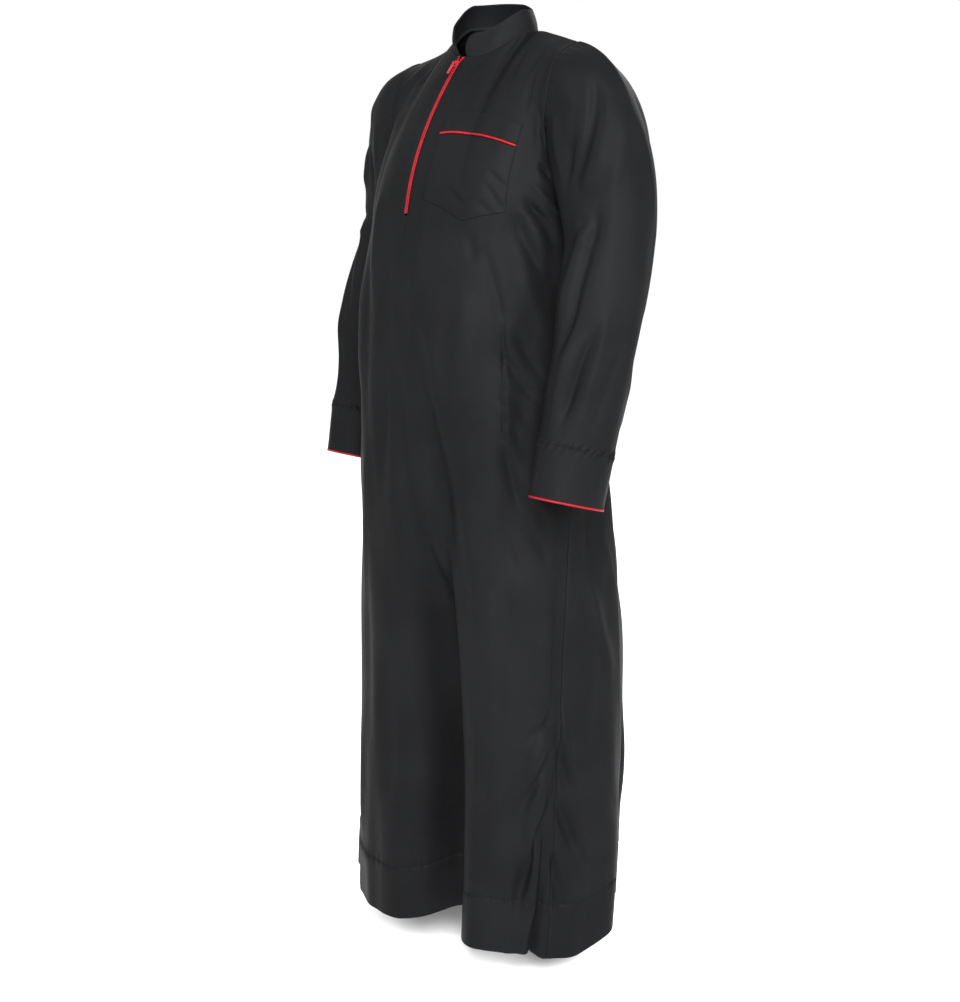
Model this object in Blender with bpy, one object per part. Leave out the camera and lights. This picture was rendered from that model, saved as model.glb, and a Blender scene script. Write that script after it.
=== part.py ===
"""Thobe: a long black robe with a band collar, red zip and red piping, in the form it has when worn.

Metres, +Z up. The front faces -Y and the wearer's left is +X. The origin is between the two points
where the shoulder seams meet the neck seam, which is where shoulders carry the garment.

A place on a panel is (across, down). across runs from -1 at the wearer's right side seam to 1 at the
left one. down runs from 0 at the neck and shoulder seams to 1 at the armpits, and to 2 at the hem.
A place round the whole skirt is its girth: as across on the front, and 2 - across on the back.
"""

from collections import namedtuple

import bmesh
import bpy
import numpy as np
from mathutils import Matrix, Vector
from mathutils.kdtree import KDTree

# Driving sizes

CLOTH = 0.0016
SEAM_GAP = 0.0003
HEM_Z = -1.403
CHEST_Z = -0.285

NECK_HALF_WIDTH = 0.068
FRONT_NECK = (-0.072, -0.042)
BACK_NECK = (0.050, 0.002)
SHOULDER_POINT = (0.190, -0.008, -0.037)
SHOULDER_SAG = 0.003
NECK_SHARE = 1 / 3

COLLAR_HEIGHT = 0.033
COLLAR_LEAN = 0.12
COLLAR_CENTRE_Y = -0.016
COLLAR_END_RADIUS = 0.024
COLLAR_END_HEIGHT = 0.017
COLLAR_FLARE_REACH = 0.075
COLLAR_FLARE_LEFT = -0.004
COLLAR_FLARE_RIGHT = -0.016

SLIT_HALF = 0.0042
ZIP_HALF = 0.0037
ZIP_THICK = 0.0020
ZIP_PROUD = 0.0008
ZIP_ENDS_DOWN = (0.012, 0.960)
SLIT_END_DOWN = 0.965

POCKET_LIFT = 0.0006
POCKET_CLOTH = 0.0014
PIPING = 0.0034

# Columns and rows of the panels' outer points

NECK_COLUMNS = 5
SHOULDER_COLUMNS = 10
CHEST_ROWS = 10
SKIRT_ROWS = 18
SLEEVE_CAP_ROWS = 6
SLEEVE_ARM_ROWS = 9
COLLAR_ROWS = 3

# The skirt's level sections, at its widest, its front and back centres and its side seams

Section = namedtuple("Section", "z half_width front back side")
SECTIONS = [
    Section(-0.285, 0.200, -0.178, 0.100, -0.004),
    Section(-0.36, 0.200, -0.195, 0.102, -0.010),
    Section(-0.50, 0.205, -0.204, 0.108, -0.020),
    Section(-0.65, 0.211, -0.200, 0.128, -0.030),
    Section(-0.82, 0.222, -0.192, 0.156, -0.044),
    Section(-1.05, 0.232, -0.186, 0.176, -0.058),
    Section(-1.25, 0.234, -0.185, 0.175, -0.066),
    Section(-1.415, 0.232, -0.186, 0.168, -0.078),
]
SQUARENESS = 2.3

# The armhole seam, as shares of its length, from the shoulder point to the armpit

Armhole = namedtuple("Armhole", "share x y z")
FRONT_ARMHOLE = [
    Armhole(0.0, 0.190, -0.008, -0.037),
    Armhole(0.20, 0.192, -0.050, -0.060),
    Armhole(0.42, 0.191, -0.067, -0.110),
    Armhole(0.62, 0.188, -0.066, -0.165),
    Armhole(0.82, 0.192, -0.048, -0.228),
    Armhole(0.93, 0.197, -0.028, -0.266),
    Armhole(1.0, 0.200, -0.004, -0.285),
]
BACK_ARMHOLE = [
    Armhole(0.0, 0.190, -0.008, -0.037),
    Armhole(0.20, 0.191, 0.030, -0.064),
    Armhole(0.42, 0.189, 0.056, -0.115),
    Armhole(0.62, 0.188, 0.064, -0.170),
    Armhole(0.82, 0.192, 0.050, -0.232),
    Armhole(0.93, 0.197, 0.026, -0.268),
    Armhole(1.0, 0.200, -0.004, -0.285),
]

# Rings down a sleeve: centre, half sizes across and along the arm's side, and how far the ring
# dips for each metre outwards and backwards

Ring = namedtuple("Ring", "z x y across along dip_out dip_back")
SLEEVE_RINGS = [
    Ring(-0.325, 0.279, -0.003, 0.065, 0.066, -0.35, 0.05),
    Ring(-0.43, 0.293, -0.034, 0.062, 0.066, -0.10, 0.14),
    Ring(-0.56, 0.290, -0.062, 0.053, 0.059, 0.0, 0.22),
    Ring(-0.684, 0.286, -0.086, 0.048, 0.057, 0.0, 0.26),
]
LEFT_ARM_AHEAD = 0.018
LEFT_ARM_UP = 0.006

# Folds of the skirt and chest: girth at the top and the bottom, the heights between which they
# run, their half width as girth, how far they stand out (a valley is less than 0), and whether
# they die out again at the bottom or keep growing down to the hem

Fold = namedtuple("Fold", "girth_top girth_bottom z_top z_bottom width out dies")
FOLDS = [
    Fold(0.15, 0.17, -0.42, -1.415, 0.15, -0.080, False),
    Fold(0.14, 0.44, -0.44, -1.02, 0.07, -0.013, True),
    Fold(0.30, 0.36, -0.70, -1.415, 0.12, 0.016, False),
    Fold(-0.28, -0.20, -0.60, -1.415, 0.16, 0.012, False),
    Fold(-0.10, -0.16, -0.34, -0.80, 0.05, -0.008, True),
    Fold(0.97, 0.99, -0.70, -1.20, 0.10, -0.014, False),
    Fold(-0.97, -0.99, -0.70, -1.20, 0.10, -0.014, False),
    Fold(0.92, 0.84, -1.04, -1.415, 0.07, -0.034, False),
    Fold(-0.86, -0.86, -1.13, -1.36, 0.13, 0.024, False),
    Fold(0.66, 0.70, -0.80, -1.415, 0.09, -0.012, False),
    Fold(-0.62, -0.70, -0.60, -1.415, 0.10, -0.018, False),
    Fold(1.22, 1.28, -0.60, -1.415, 0.10, 0.016, False),
    Fold(1.50, 1.55, -0.75, -1.415, 0.10, -0.028, False),
    Fold(1.80, 1.78, -0.45, -1.415, 0.12, 0.018, False),
    Fold(2.04, 2.02, -0.80, -1.415, 0.12, -0.038, False),
    Fold(2.22, 2.26, -0.45, -1.415, 0.12, 0.018, False),
    Fold(2.50, 2.46, -0.70, -1.415, 0.10, -0.028, False),
    Fold(2.76, 2.72, -0.60, -1.415, 0.10, 0.016, False),
    Fold(1.64, 1.70, -0.12, -0.55, 0.10, -0.010, True),
    Fold(2.36, 2.30, -0.12, -0.55, 0.10, -0.010, True),
]
HEM_RISE = 0.20

# How much each part of the shoulders and neck lies above its even form, across the garment

ShoulderLevel = namedtuple("ShoulderLevel", "x rise")
SHOULDER_LEVELS = [
    ShoulderLevel(-0.190, -0.013),
    ShoulderLevel(-0.130, -0.011),
    ShoulderLevel(-0.068, 0.001),
    ShoulderLevel(0.0, 0.0),
    ShoulderLevel(0.068, -0.008),
    ShoulderLevel(0.100, 0.005),
    ShoulderLevel(0.140, 0.011),
    ShoulderLevel(0.190, 0.013),
]

# How far the hem stands above HEM_Z round its girth, before its folds

HemLevel = namedtuple("HemLevel", "girth rise")
HEM_LEVELS = [
    HemLevel(-1.0, 0.026),
    HemLevel(-0.5, 0.012),
    HemLevel(0.0, 0.009),
    HemLevel(0.4, 0.015),
    HemLevel(0.7, 0.006),
    HemLevel(0.95, -0.008),
    HemLevel(1.12, -0.010),
    HemLevel(1.3, 0.014),
    HemLevel(1.6, 0.010),
    HemLevel(2.0, 0.004),
    HemLevel(2.5, 0.006),
    HemLevel(3.0, 0.026),
]

# How far the chest follows the armholes rather than its own ribs, as a power of the share across
ARMHOLE_PULL = 3.5

# Folds of a sleeve: place round it in turns from the top by way of the front, then as above

SleeveFold = namedtuple("SleeveFold", "turn_top turn_bottom z_top z_bottom width out dies")
SLEEVE_FOLDS = [
    SleeveFold(0.20, 0.36, -0.36, -0.54, 0.08, -0.007, True),
    SleeveFold(0.16, 0.32, -0.46, -0.64, 0.08, -0.006, True),
    SleeveFold(0.90, 0.78, -0.34, -0.60, 0.09, -0.006, True),
]

# Chest pocket, on the wearer's left: across the chest in metres, and heights

POCKET_INNER_X = 0.037
POCKET_OUTER_X = 0.163
POCKET_POINT_X = 0.112
POCKET_TOP_Z = -0.1275
POCKET_BAND = 0.0285
POCKET_SIDE_Z = -0.252
POCKET_POINT_Z = -0.2795
POCKET_SLOPE = 0.125
POCKET_BOW = 0.0085

# Zip slider and pull, in metres along the slider's own axes

SLIDER_DOWN = 0.07
SLIDER_SIZE = (0.0090, 0.0110, 0.0026)
LUG_X = 0.0029
LUG_SIZE = (0.0012, 0.0036, 0.0036)
PIN_RADIUS = 0.0006
PIN_HEIGHT = 0.0050
EYE_RADIUS = 0.0019
EYE_HOLE_RADIUS = 0.0010
EYE_WIDTH = 0.0034
NECK_SIZE = (0.0032, 0.0022, 0.0012)
NECK_CLEAR = 0.0002
PULL_SIZE = (0.0056, 0.0190, 0.0012)
ROUND_SIDES = 16


def hermite(start, end, leave, arrive, share):
    """Points on a cubic from start to end, with its slopes at both."""
    return (
        (2 * share**3 - 3 * share**2 + 1) * start
        + (share**3 - 2 * share**2 + share) * leave
        + (3 * share**2 - 2 * share**3) * end
        + (share**3 - share**2) * arrive
    )


def smooth(knots, values, at):
    """Values at places on the smooth curve through (knots, values). The knots rise."""
    knots = np.asarray(knots, float)
    values = np.asarray(values, float)
    at = np.clip(np.asarray(at, float), knots[0], knots[-1])
    slopes = np.gradient(values, knots, axis=0)
    first = np.clip(np.searchsorted(knots, at) - 1, 0, len(knots) - 2)
    step = (knots[1:] - knots[:-1])[first]
    share = (at - knots[first]) / step
    if values.ndim > 1:
        step = step[..., None]
        share = share[..., None]
    return hermite(
        values[first], values[first + 1], slopes[first] * step, slopes[first + 1] * step, share
    )


def ease(value, low, high):
    """0 below low, 1 above high, and a smooth step between them. high may be the lower one."""
    share = np.clip((value - low) / (high - low), 0, 1)
    return share * share * (3 - 2 * share)


def stack(x, y, z):
    """Points from three arrays of coordinates."""
    return np.stack(np.broadcast_arrays(x, y, z), axis=-1)


def length(vectors):
    """Lengths of vectors, as a last axis of one."""
    return np.linalg.norm(vectors, axis=-1, keepdims=True)


def section(face, share, z):
    """Where a panel's left half lies at a height. face is -1 on the front and 1 on the back."""
    rows = sorted(SECTIONS)
    heights = [row.z for row in rows]
    half, front, back, side = np.moveaxis(smooth(heights, [row[1:] for row in rows], z), -1, 0)
    turn = share * np.pi / 2
    reach = (np.sin(turn) ** SQUARENESS + np.abs(np.cos(turn)) ** SQUARENESS) ** (-1 / SQUARENESS)
    centre = front if face < 0 else back
    return stack(half * reach * np.sin(turn), side + (centre - side) * reach * np.cos(turn), z)


def top_edge(face, share):
    """The neck seam and then the shoulder seam of a panel's left half."""
    y, z = FRONT_NECK if face < 0 else BACK_NECK
    turn = np.clip(share / NECK_SHARE, 0, 1) * np.pi / 2
    ahead = np.clip(np.cos(turn), 0, 1)
    neck = stack(NECK_HALF_WIDTH * np.sin(turn), y * ahead, z * ahead**1.4)
    along = np.clip((share - NECK_SHARE) / (1 - NECK_SHARE), 0, 1)[..., None]
    side_neck = np.array([NECK_HALF_WIDTH, 0, 0])
    sag = np.array([0, 0, -SHOULDER_SAG]) * np.sin(np.pi * along)
    shoulder = side_neck + along * (np.array(SHOULDER_POINT) - side_neck) + sag
    return np.where(share[..., None] < NECK_SHARE, neck, shoulder)


def armhole(face, down):
    """The left armhole seam on the front or the back."""
    rows = FRONT_ARMHOLE if face < 0 else BACK_ARMHOLE
    return smooth([row.share for row in rows], [row[1:] for row in rows], down)


def chest(face, share, down):
    """A panel's left half above the armpits: ribs of cloth from the top edge to the first section."""
    start = top_edge(face, share)
    end = section(face, share, np.full_like(share, CHEST_Z))
    span = length(end - start)
    at_neck = np.array([0, 0.62 * face, -0.78])
    at_shoulder = np.array([0, 0.95 * face, -0.30])
    leave = at_neck + share[..., None] * (at_shoulder - at_neck)
    arrive = np.array([0, 0.05 * face, -1.0])
    ribs = hermite(start, end, leave * span, arrive * span, down[..., None])
    one = np.ones_like(share)
    last_start = top_edge(face, one)
    last_end = section(face, one, np.full_like(share, CHEST_Z))
    last_span = length(last_end - last_start)
    last = hermite(
        last_start, last_end, at_shoulder * last_span, arrive * last_span, down[..., None]
    )
    pull = share[..., None] ** ARMHOLE_PULL
    return ribs + pull * (armhole(face, down) - last)


def girth_of(face, across):
    """A panel's place across it, as a place round the skirt."""
    return across if face < 0 else 2 - across


def fold_out(folds, place, z, whole_turn):
    """How far the folds move the cloth out, at places round it and heights."""
    out = np.zeros(np.broadcast(place, z).shape)
    for fold in folds:
        share = np.clip((fold.z_top - z) / (fold.z_top - fold.z_bottom), 0, 1)
        middle = fold[0] + share * (fold[1] - fold[0])
        away = (place - middle + whole_turn / 2) % whole_turn - whole_turn / 2
        strength = np.sin(np.pi * share) ** 2 if fold.dies else ease(share, 0, 1)
        out += fold.out * strength * np.exp(-((away / fold.width) ** 2))
    return out


def hem_level(girth):
    """The hem's height at a girth, before its folds."""
    return HEM_Z + smooth(
        [level.girth for level in HEM_LEVELS], [level.rise for level in HEM_LEVELS], girth
    )


def settle(points):
    """Tilts the neck and the shoulders as they are worn."""
    share = ease(points[..., 2], -0.55, -0.10)
    levels = [level.rise for level in SHOULDER_LEVELS]
    rise = share * smooth([level.x for level in SHOULDER_LEVELS], levels, points[..., 0])
    return points + stack(0 * rise, 0 * rise, rise)


def panel(face, across, down):
    """Points of the front (face -1) or the back (face 1), with their folds."""
    across, down = np.broadcast_arrays(np.asarray(across, float), np.asarray(down, float))
    side = np.where(across < 0, -1.0, 1.0)
    share = np.abs(across)
    upper = chest(face, share, np.clip(down, 0, 1))
    hem_z = hem_level(girth_of(face, across))
    heights = CHEST_Z + np.clip(down - 1, 0, 1) * (hem_z - CHEST_Z)
    points = np.where(down[..., None] < 1, upper, section(face, share, heights))
    out = fold_out(FOLDS, girth_of(face, across), points[..., 2], 4)
    turn = share * np.pi / 2
    level = stack(np.sin(turn), face * np.cos(turn), np.zeros_like(turn))
    points = points + level * out[..., None]
    points[..., 2] += HEM_RISE * np.maximum(-out, 0) * ease(down, 1.5, 2)
    points[..., 0] *= side
    return settle(points)


def sleeve_ring(side, turn, z):
    """Points round a sleeve below the biceps, as if a left one. turn runs 0 to 1 from outside forwards."""
    rows = sorted(SLEEVE_RINGS)
    values = smooth([row.z for row in rows], [row[1:] for row in rows], z)
    x, y, across, along, dip_out, dip_back = np.moveaxis(values, -1, 0)
    angle = 2 * np.pi * turn
    out = fold_out(SLEEVE_FOLDS, turn, z, 1)
    off_x = (across + out) * np.cos(angle)
    off_y = -(along + out) * np.sin(angle)
    return stack(
        x + off_x,
        y - side * LEFT_ARM_AHEAD + off_y,
        z + side * LEFT_ARM_UP - dip_out * off_x - dip_back * off_y,
    )


def sleeve(side, turn, down):
    """Points of a sleeve. down runs from 0 at the armhole to 1 at the biceps and 2 at the cuff."""
    turn, down = np.broadcast_arrays(np.asarray(turn, float), np.asarray(down, float))
    seam_share = np.clip(1 - np.abs(1 - 2 * turn), 0, 1)
    start = np.where(
        (turn <= 0.5)[..., None], armhole(-1, seam_share), armhole(1, seam_share)
    )
    biceps_z = SLEEVE_RINGS[0].z
    cuff_z = SLEEVE_RINGS[-1].z
    end = sleeve_ring(side, turn, np.full_like(turn, biceps_z))
    top = np.cos(2 * np.pi * turn)
    ahead = np.sin(2 * np.pi * turn)
    outwards = 0.115 + 0.180 * top + 0.085 * top**2
    leave = stack(outwards, -0.010 - 0.035 * ahead, -0.060 + 0.012 * top)
    arrive = stack(0.02, -0.04, -0.18) + stack(0.01, -0.02, -0.15) * top[..., None]
    share = np.clip(down, 0, 1)[..., None]
    cap = hermite(start, end, leave, arrive, share)
    arm = sleeve_ring(side, turn, biceps_z + np.clip(down - 1, 0, 1) * (cuff_z - biceps_z))
    return settle(np.where(down[..., None] < 1, cap, arm) * np.array([side, 1, 1]))


def grid_faces(rows, columns, closed=False):
    """Faces over points laid out row by row. A closed grid joins its last column to its first."""
    faces = []
    for row in range(rows - 1):
        for column in range(columns if closed else columns - 1):
            right = (column + 1) % columns
            low, high = row * columns, (row + 1) * columns
            faces.append((low + column, high + column, high + right, low + right))
    return faces


def split(points, faces):
    """The faces as triangles, each quad cut along its shorter diagonal."""
    triangles = []
    for a, b, c, d in faces:
        if np.linalg.norm(points[a] - points[c]) <= np.linalg.norm(points[b] - points[d]):
            triangles += [(a, b, c), (a, c, d)]
        else:
            triangles += [(a, b, d), (b, c, d)]
    return triangles


def own_normals(points, triangles):
    """The sum of face normals at each point, as long as the faces are large."""
    normals = np.zeros_like(points)
    index = np.array(triangles)
    corner = points[index]
    cross = np.cross(corner[:, 1] - corner[:, 0], corner[:, 2] - corner[:, 0])
    for place in range(3):
        np.add.at(normals, index[:, place], cross)
    return normals


def shared_normals(sheets):
    """Unit normals for each sheet, the same for points that meet at a seam, so that seams are mitred."""
    points = np.vstack([sheet.points for sheet in sheets])
    normals = np.vstack([own_normals(sheet.points, sheet.triangles) for sheet in sheets])
    tree = KDTree(len(points))
    for index, point in enumerate(points):
        tree.insert(point, index)
    tree.balance()
    joined = np.array(
        [sum(normals[near[1]] for near in tree.find_range(point, 1e-5)) for point in points]
    )
    joined /= length(joined)
    ends = np.cumsum([len(sheet.points) for sheet in sheets])[:-1]
    return np.split(joined, ends)


Sheet = namedtuple("Sheet", "name points triangles shift")

Look = namedtuple("Look", "color roughness metallic sheen")
BLACK_CLOTH = Look((0.012, 0.012, 0.013), 0.62, 0.0, 0.3)
RED_PIPING = Look((0.60, 0.012, 0.025), 0.50, 0.0, 0.0)
RED_ENAMEL = Look((0.55, 0.012, 0.022), 0.30, 0.4, 0.0)


def material(name, look):
    """A plain Principled material for one piece."""
    made = bpy.data.materials.new(name)
    made.use_nodes = True
    shader = made.node_tree.nodes["Principled BSDF"]
    shader.inputs["Base Color"].default_value = (*look.color, 1.0)
    shader.inputs["Roughness"].default_value = look.roughness
    shader.inputs["Metallic"].default_value = look.metallic
    shader.inputs["Sheen Weight"].default_value = look.sheen
    made.diffuse_color = (*look.color, 1.0)
    return made


def add_mesh(name, points, faces, look):
    """A named object from points and faces, with its own material."""
    mesh = bpy.data.meshes.new(name)
    mesh.from_pydata([tuple(point) for point in points], [], [tuple(face) for face in faces])
    mesh.materials.append(material(name, look))
    mesh.shade_smooth()
    mesh.set_sharp_from_angle(angle=np.radians(50))
    made = bpy.data.objects.new(name, mesh)
    bpy.context.scene.collection.objects.link(made)
    return made


def add_wall(name, outer, inner, triangles, look):
    """A closed wall between two sets of points, with a rim along their open edges.

    Two walls that meet at a seam cut each quad of the rim along the same diagonal.
    """
    count = len(outer)
    walls = list(triangles)
    walls += [tuple(corner + count for corner in reversed(face)) for face in triangles]
    edges = {edge for a, b, c in triangles for edge in ((a, b), (b, c), (c, a))}
    order = outer @ np.array([1.0, 1.7, 0.6])
    for a, b in sorted(edges):
        if (b, a) in edges:
            continue
        if order[a] < order[b]:
            walls += [(b, a, b + count), (a, a + count, b + count)]
        else:
            walls += [(b, a, a + count), (b, a + count, b + count)]
    return add_mesh(name, np.vstack([outer, inner]), walls, look)


def front_across():
    """Places across the front's columns. The centre column is there twice, for the slit's two sides."""
    half = np.linspace(0, 1, NECK_COLUMNS + SHOULDER_COLUMNS + 1)
    return np.concatenate([-half[::-1], half])


def chest_down():
    """Places down the rows above the armpits. The zip's slit ends at the last but one."""
    return np.append(np.linspace(0, SLIT_END_DOWN, CHEST_ROWS), 1.0)


def panel_down():
    """Places down the panels' rows."""
    return np.concatenate([chest_down(), np.linspace(1, 2, SKIRT_ROWS + 1)[1:]])


def front_sheet():
    """The front's outer points, open at the zip's slit down to just above the armpits' height."""
    across = front_across()
    down = panel_down()
    columns = len(across)
    middle = columns // 2
    points = panel(-1, across[None, :], down[:, None])
    points[:CHEST_ROWS, middle - 1, 0] -= SLIT_HALF
    points[:CHEST_ROWS, middle, 0] += SLIT_HALF
    faces = []
    for face in grid_faces(len(down), columns):
        row = face[0] // columns
        if face[0] % columns == middle - 1 and row != CHEST_ROWS - 1:
            continue
        faces.append(face)
    joined = np.arange(len(down) * columns).reshape(len(down), columns)
    joined[CHEST_ROWS:, middle] = joined[CHEST_ROWS:, middle - 1]
    points = points.reshape(-1, 3)
    triangles = split(points, [tuple(joined.flat[corner] for corner in face) for face in faces])
    triangles = [face for face in triangles if len(set(face)) == 3]
    used, places = np.unique(np.array(triangles), return_inverse=True)
    triangles = [tuple(face) for face in places.reshape(-1, 3)]
    return Sheet("front", points[used], triangles, (0, -SEAM_GAP / 2, 0))


def back_sheet():
    """The back's outer points. Its columns run from the left side to the right, to face outwards."""
    half = np.linspace(0, 1, NECK_COLUMNS + SHOULDER_COLUMNS + 1)
    across = np.concatenate([half[::-1], -half[1:]])
    down = panel_down()
    points = panel(1, across[None, :], down[:, None]).reshape(-1, 3)
    faces = grid_faces(len(down), len(across))
    return Sheet("back", points, split(points, faces), (0, SEAM_GAP / 2, 0))


def sleeve_down():
    """Places down a sleeve's rows."""
    return np.concatenate(
        [np.linspace(0, 1, SLEEVE_CAP_ROWS + 1), np.linspace(1, 2, SLEEVE_ARM_ROWS + 1)[1:]]
    )


def sleeve_turn():
    """Places round a sleeve's columns, which meet the panels' rows at the armhole."""
    half = chest_down() / 2
    return np.concatenate([half, 1 - half[-2:0:-1]])


def sleeve_sheet(side):
    """A sleeve's outer points. side is 1 on the wearer's left and -1 on the right."""
    points = sleeve(side, sleeve_turn()[None, ::-side], sleeve_down()[:, None])
    faces = grid_faces(points.shape[0], points.shape[1], closed=True)
    points = points.reshape(-1, 3)
    name = "sleeve_left" if side > 0 else "sleeve_right"
    return Sheet(name, points, split(points, faces), (side * (SEAM_GAP + 0.00005), 0, 0))


def collar_base():
    """The neck seam from the slit's left side round the back to its right side."""
    share = np.linspace(0, NECK_SHARE, NECK_COLUMNS + 1)
    left = np.vstack([top_edge(-1, share), top_edge(1, share)[-2::-1]])
    right = left[-2::-1] * np.array([-1, 1, 1])
    base = settle(np.vstack([left, right]))
    base[[0, -1], 0] = SLIT_HALF, -SLIT_HALF
    return base


def collar_sheet():
    """The band collar, leaning in towards the neck, with rounded front ends that flare to one side."""
    base = collar_base()
    gaps = length(np.diff(base, axis=0))[:, 0]
    along = np.concatenate([[0], np.cumsum(gaps)])
    from_end = np.minimum(along, along[-1] - along)
    part = np.clip(1 - from_end / COLLAR_END_RADIUS, 0, 1)
    rise = np.sqrt(1 - part**2)
    height = COLLAR_END_HEIGHT + (COLLAR_HEIGHT - COLLAR_END_HEIGHT) * rise
    lean = (np.array([0, COLLAR_CENTRE_Y, 0]) - base) * np.array([1, 1, 0]) * COLLAR_LEAN
    upright = lean * (height / COLLAR_HEIGHT)[:, None] + stack(0 * height, 0 * height, height)
    upright[:, 0] += COLLAR_FLARE_LEFT * ease(along, COLLAR_FLARE_REACH, 0)
    upright[:, 0] += COLLAR_FLARE_RIGHT * ease(along[-1] - along, COLLAR_FLARE_REACH, 0)
    rows = [base + upright * share for share in np.linspace(1, 0, COLLAR_ROWS + 1)]
    points = np.vstack(rows)
    faces = grid_faces(COLLAR_ROWS + 1, len(base))
    return Sheet("collar", points, split(points, faces), (0, 0, SEAM_GAP))


def add_garment():
    """The five cloth pieces that make the hollow robe, mitred and parted at their seams."""
    sheets = [front_sheet(), back_sheet(), sleeve_sheet(1), sleeve_sheet(-1), collar_sheet()]
    for sheet, normals in zip(sheets, shared_normals(sheets)):
        outer = sheet.points + np.array(sheet.shift)
        add_wall(sheet.name, outer, outer - normals * CLOTH, sheet.triangles, BLACK_CLOTH)


def find_on_front(x, z):
    """Places across and down the front whose points have the given x and z."""
    across = np.asarray(x, float) / SECTIONS[0].half_width * 0.7
    down = np.clip((np.asarray(z, float) - FRONT_NECK[1]) / (CHEST_Z - FRONT_NECK[1]), 0, 1)
    step = 1e-4
    for _ in range(12):
        here = panel(-1, across, down)
        by_across = (panel(-1, across + step, down) - here) / step
        by_down = (panel(-1, across, down + step) - here) / step
        miss_x = x - here[..., 0]
        miss_z = z - here[..., 2]
        area = by_across[..., 0] * by_down[..., 2] - by_down[..., 0] * by_across[..., 2]
        across = across + (miss_x * by_down[..., 2] - miss_z * by_down[..., 0]) / area
        down = down + (miss_z * by_across[..., 0] - miss_x * by_across[..., 2]) / area
    return across, down


def on_front(x, z, lift):
    """Points on the front at the given x and z, moved out from the cloth."""
    across, down = find_on_front(x, z)
    step = 1e-3
    here = panel(-1, across, down)
    by_across = panel(-1, across + step, down) - here
    by_down = panel(-1, across, down + step) - here
    normal = np.cross(by_down, by_across)
    return here + lift * normal / length(normal)


def add_on_front(name, x, z, thick, look):
    """A flat piece laid on the front, from a grid of x and z."""
    inner = on_front(x, z, POCKET_LIFT).reshape(-1, 3)
    outer = on_front(x, z, POCKET_LIFT + thick).reshape(-1, 3)
    triangles = split(outer, grid_faces(*x.shape))
    return add_wall(name, outer, inner, triangles, look)


def pocket_grid(top, bottom, columns, rows):
    """x and z over the chest pocket between two heights, given as functions of x."""
    x = np.linspace(POCKET_INNER_X, POCKET_OUTER_X, columns + 1)
    share = np.linspace(0, 1, rows + 1)[:, None]
    return np.broadcast_to(x, (rows + 1, columns + 1)), top(x) + share * (bottom(x) - top(x))


def pocket_height(z):
    """A slanting, slightly bowed level of the chest pocket, as a function of x."""
    wide = POCKET_OUTER_X - POCKET_INNER_X

    def height(x):
        share = (x - POCKET_INNER_X) / wide
        return z - POCKET_SLOPE * wide * share + 4 * POCKET_BOW * share * (1 - share)

    return height


def pocket_bottom(x):
    """The pointed lower edge of the chest pocket."""
    places = (POCKET_INNER_X, POCKET_POINT_X, POCKET_OUTER_X)
    heights = (POCKET_SIDE_Z, POCKET_POINT_Z, POCKET_SIDE_Z)
    return pocket_height(0)(x) + np.interp(x, places, heights)


def add_pocket():
    """The chest pocket, the band across its top and the piping between them."""
    band_z = POCKET_TOP_Z - POCKET_BAND
    piping_z = band_z - SEAM_GAP
    pocket_z = piping_z - PIPING - SEAM_GAP
    band = pocket_grid(pocket_height(POCKET_TOP_Z), pocket_height(band_z), 10, 2)
    add_on_front("chest_pocket_band", *band, POCKET_CLOTH, BLACK_CLOTH)
    piping = pocket_grid(pocket_height(piping_z), pocket_height(piping_z - PIPING), 10, 1)
    add_on_front("pocket_piping", *piping, PIPING, RED_PIPING)
    body = pocket_grid(pocket_height(pocket_z), pocket_bottom, 10, 6)
    add_on_front("chest_pocket", *body, POCKET_CLOTH, BLACK_CLOTH)


def add_cuff_piping(side):
    """The round red edge below a sleeve's cuff."""
    turn = sleeve_turn()
    edge = sleeve(side, turn, 2.0)
    above = sleeve(side, turn, 1.98)
    along = edge - above
    along /= length(along)
    round_it = np.roll(edge, -1, axis=0) - np.roll(edge, 1, axis=0)
    inwards = side * np.cross(along, round_it)
    inwards /= length(inwards)
    middle = edge + along * (SEAM_GAP + PIPING / 2) + inwards * CLOTH / 2
    sides = 6
    rings = []
    for index in range(sides):
        angle = 2 * np.pi * (index + 0.5) / sides
        reach = PIPING / 2 / np.cos(np.pi / sides)
        rings.append(middle + reach * (np.cos(angle) * along - np.sin(angle) * inwards))
    points = np.vstack(rings)
    points[:, 0] += side * SEAM_GAP
    columns = len(turn)
    faces = []
    for row in range(sides):
        for column in range(columns):
            right = (column + 1) % columns
            low, high = row * columns, (row + 1) % sides * columns
            faces.append((low + column, high + column, high + right, low + right)[::side])
    name = "cuff_piping_left" if side > 0 else "cuff_piping_right"
    return add_mesh(name, points, faces, RED_PIPING)


def zip_place(down):
    """A point on the front's centre line, with the directions down along it and out of the cloth."""
    step = 1e-3
    here = panel(-1, 0.0, down)
    ahead = panel(-1, 0.0, down + step) - panel(-1, 0.0, down - step)
    along = ahead / np.linalg.norm(ahead)
    out = np.cross(along, np.array([1.0, 0, 0]))
    return here, along, out


def add_zip():
    """The closed zip in the front's slit."""
    down = np.linspace(*ZIP_ENDS_DOWN, 14)
    outer = []
    inner = []
    for place in down:
        here, along, out = zip_place(place)
        for x in (-ZIP_HALF, ZIP_HALF):
            outer.append(here + out * ZIP_PROUD + np.array([x, 0, 0]))
            inner.append(here + out * (ZIP_PROUD - ZIP_THICK) + np.array([x, 0, 0]))
    outer = np.array(outer)
    faces = grid_faces(len(down), 2)
    return add_wall("zip_strip", outer, np.array(inner), split(outer, faces), RED_PIPING)


def box(size, centre):
    """A box as a bmesh."""
    made = bmesh.new()
    place = Matrix.Translation(centre) @ Matrix.Diagonal((*size, 1))
    bmesh.ops.create_cube(made, size=1, matrix=place)
    return made


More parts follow.
